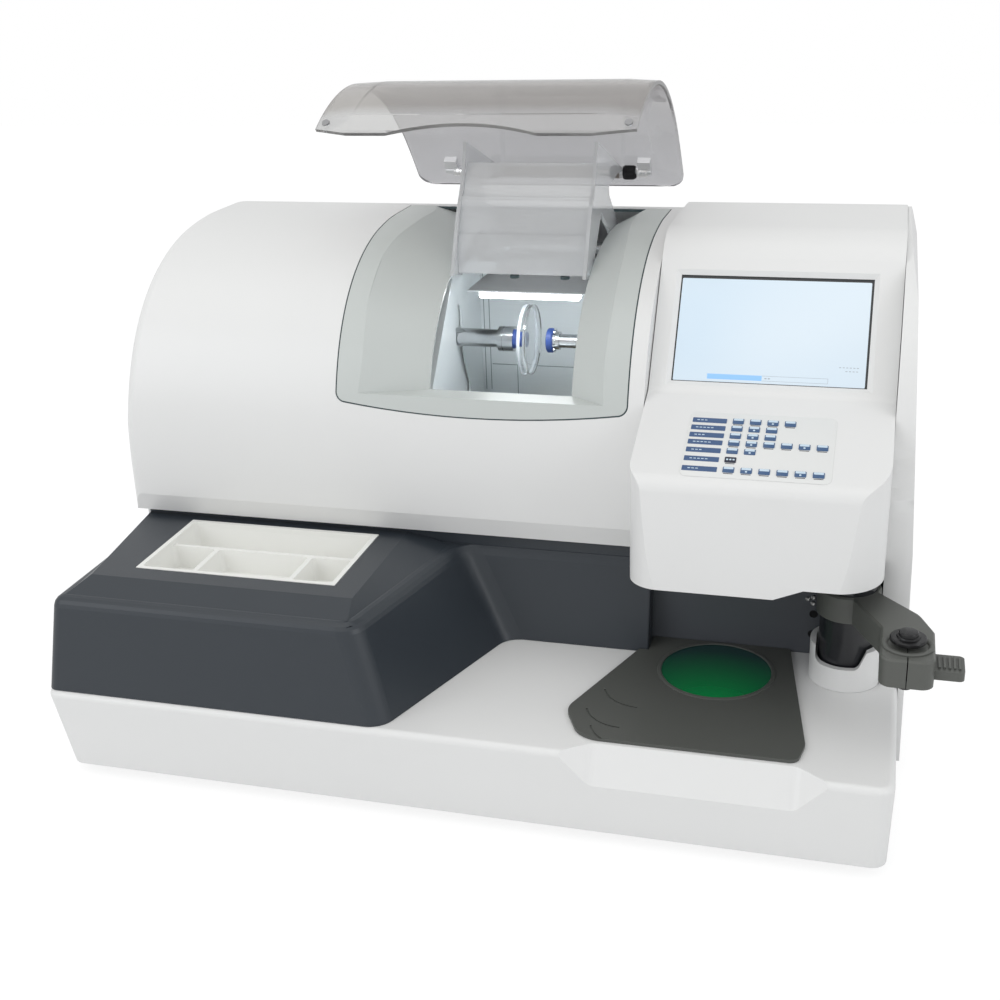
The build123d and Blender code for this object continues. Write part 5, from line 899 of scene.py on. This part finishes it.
# Grinding chamber: seams on its back wall with two lines of painted shade by its left corner, plates behind
# the shafts' slots, pad beads and the lens's edge
chamber = {
    "back": 440.0,
    "seamsAndCornerShade": ((-72.0, 84.0, 241.65, 242.35), (-46.15, -45.45, 200.0, 241.6),
              # the two lines below are painted shade, beside the corner where the back wall meets the left
              # wall
              (-79.3, -78.7, 215.0, 338.0), (-73.8, -73.2, 215.0, 338.0)),
    "seamShape": (-0.05, 0.25, 0.1, 0.05),  # levels, corner and rim
    "pivot": (485.0, 300.0),
    "shaft": (364, 290.5),
    "sealPlates": {"slotSealPlate": -85.4, "slotSealPlateRight": 88.4},
    "sealUp": 33,  # degrees above the shaft, and below it
    "sealDown": 50,
    "sealWide": 32.0,
    "sealThick": 1.4,
    "sealSteps": 28,
    "bead": ((-1.0, 0.3), (-0.8, 0.75), (0, 1.05), (0.8, 0.75), (1.0, 0.3)),
    "beads": 14,
    "beadCircle": 10.3,
    "padX": 12.1,
    "lensX": -15.7,
    "lensEdge": ((-1.5, 32.35), (-1.5, 32.75), (-0.9, 33.0), (0.9, 33.0), (1.5, 32.75), (1.5, 32.35)),
}


def makeSeams():
    seamsAndCornerShade = [newPlate("backWallLine", *edges, *chamber["seamShape"]) for edges in chamber["seamsAndCornerShade"]]
    lines = joinAll(seamsAndCornerShade, "panelSeamsAndCornerShade")
    finishPiece(layOn(lines, facingFront(0, chamber["back"], 0)), "base", "stainless", "panelSeamAndCornerShade")


# Each shaft's slot is closed by a curved plate that swings with the carriage behind it
def makeSealPlate(name, x):
    radius = math.dist(chamber["shaft"], chamber["pivot"]) / 1000
    size = (chamber["sealThick"] / 1000, chamber["sealWide"] / 1000, 1)
    arc = math.radians(chamber["sealUp"] + chamber["sealDown"])
    deselectAll()
    bpy.ops.mesh.primitive_plane_add(size=1, location=(0, -radius, 0))
    plate = bpy.context.object
    plate.name = name
    bpy.ops.object.transform_apply(location=True, rotation=True, scale=True)
    bpy.ops.object.mode_set(mode="EDIT")
    bpy.ops.mesh.select_all(action="SELECT")
    bpy.ops.transform.resize(value=size, center_override=(0, -radius, 0))
    bpy.ops.mesh.spin(steps=chamber["sealSteps"], angle=arc, center=(0, 0, 0), axis=(1, 0, 0))
    weldAll(shaping["weldGap"])
    bpy.ops.mesh.normals_make_consistent(inside=False)
    bpy.ops.object.mode_set(mode="OBJECT")
    middle = sum((corner.co for corner in plate.data.vertices), Vector()) / len(plate.data.vertices)
    lean = math.radians((chamber["sealDown"] - chamber["sealUp"]) / 2)
    turn = Matrix.Rotation(math.atan2(middle.z, -middle.y) + lean, 4, "X")
    layOn(plate, Matrix.Translation(place(x, *chamber["pivot"])) @ turn)
    finishPiece(plate, "carriage", "stainless")


def makeLensTrim():
    bead = newTurned("beadBlank", chamber["bead"], sides=10)
    beads = copiesAround(bead, chamber["beads"], chamber["beadCircle"], chamber["padX"])
    ring = joinAll(beads, "padBeads")
    finishPiece(layOn(ring, alongX(0, *chamber["shaft"])), "right_spindle", "bright_steel", "chrome")
    rim = newTurned("lensRim", chamber["lensEdge"], sides=96, hollow=True)
    layOn(rim, alongX(chamber["lensX"], *chamber["shaft"]))
    finishPiece(rim, "left_spindle", "lens_glass", "lensEdge")


makeSeams()
for name, x in chamber["sealPlates"].items():
    makeSealPlate(name, x)
makeLensTrim()
print("chamber dressed")

# Floor: white to the camera, and it keeps part of the object's shadow
ground = {"size": 8.0, "cuts": 3, "color": (0.85, 0.85, 0.85), "roughness": 0.7, "glow": 1.15, "share": 0.75}


def makeFloor():
    deselectAll()
    bpy.ops.mesh.primitive_plane_add(size=ground["size"], location=(0, 0, 0))
    floor = bpy.context.object
    floor.name = "studioFloor"
    bpy.ops.object.mode_set(mode="EDIT")
    bpy.ops.mesh.select_all(action="SELECT")
    bpy.ops.mesh.subdivide(number_cuts=ground["cuts"])
    bpy.ops.object.mode_set(mode="OBJECT")
    material, tree, shader, coords = newMaterial("paleFloor", ground["color"])
    tree.nodes.remove(coords)
    shader.inputs["Base Color"].default_value = (*ground["color"], 1)
    shader.inputs["Roughness"].default_value = ground["roughness"]
    glow = newNode(tree, "ShaderNodeEmission", 100, -300)
    glow.inputs["Color"].default_value = (1, 1, 1, 1)
    glow.inputs["Strength"].default_value = ground["glow"]
    rays = newNode(tree, "ShaderNodeLightPath", 100, 400)
    share = newMath(tree, 300, 300, "MULTIPLY", rays.outputs["Is Camera Ray"], ground["share"])
    blend = newNode(tree, "ShaderNodeMixShader", 500, 0)
    tree.links.new(share, blend.inputs[0])
    tree.links.new(shader.outputs[0], blend.inputs[1])
    tree.links.new(glow.outputs[0], blend.inputs[2])
    tree.links.new(blend.outputs[0], tree.nodes["Material Output"].inputs["Surface"])
    floor.data.materials.append(material)


# World: soft light all round, and plain white behind the object
room = {"light": (0.94, 0.95, 0.955), "strength": 0.77}


def makeWorld():
    world = bpy.data.worlds.new("softRoom")
    world.use_nodes = True
    bpy.context.scene.world = world
    tree = world.node_tree
    around = tree.nodes["Background"]
    around.inputs["Color"].default_value = (*room["light"], 1)
    around.inputs["Strength"].default_value = room["strength"]
    behind = newNode(tree, "ShaderNodeBackground", 0, -200)
    behind.inputs["Color"].default_value = (1, 1, 1, 1)
    behind.inputs["Strength"].default_value = 1.0
    blend = newNode(tree, "ShaderNodeMixShader", 300, 0)
    rays = newNode(tree, "ShaderNodeLightPath", -300, 200)
    tree.links.new(rays.outputs["Is Camera Ray"], blend.inputs[0])
    tree.links.new(around.outputs[0], blend.inputs[1])
    tree.links.new(behind.outputs[0], blend.inputs[2])
    tree.links.new(blend.outputs[0], tree.nodes["World Output"].inputs["Surface"])


lamps = {
    "overhead": {"at": (-0.3, -0.5, 2.2), "to": (0, 0, 0.2), "size": 2.2, "power": 9,
                 "color": (1.0, 0.98, 0.93)},
    "frontLeft": {"at": (-1.6, -1.8, 1.3), "to": (0, 0, 0.25), "size": 1.4, "power": 9.5,
                  "color": (0.95, 0.97, 1.0)},
    "right": {"at": (2.0, -0.9, 1.2), "to": (0, 0, 0.25), "size": 1.2, "power": 6.5,
              "color": (0.95, 0.97, 1.0)},
}


def makeLamps():
    for name, values in lamps.items():
        data = bpy.data.lights.new(name, "AREA")
        data.shape = "SQUARE"
        data.size = values["size"]
        data.energy = values["power"]
        data.color = values["color"]
        lamp = bpy.data.objects.new(name, data)
        bpy.context.scene.collection.objects.link(lamp)
        lamp.location = values["at"]
        aim = Vector(values["to"]) - Vector(values["at"])
        lamp.rotation_euler = aim.to_track_quat("-Z", "Y").to_euler()


makeFloor()
makeWorld()
makeLamps()
bpy.context.scene.view_settings.view_transform = "Standard"
print("floor and lamps placed")
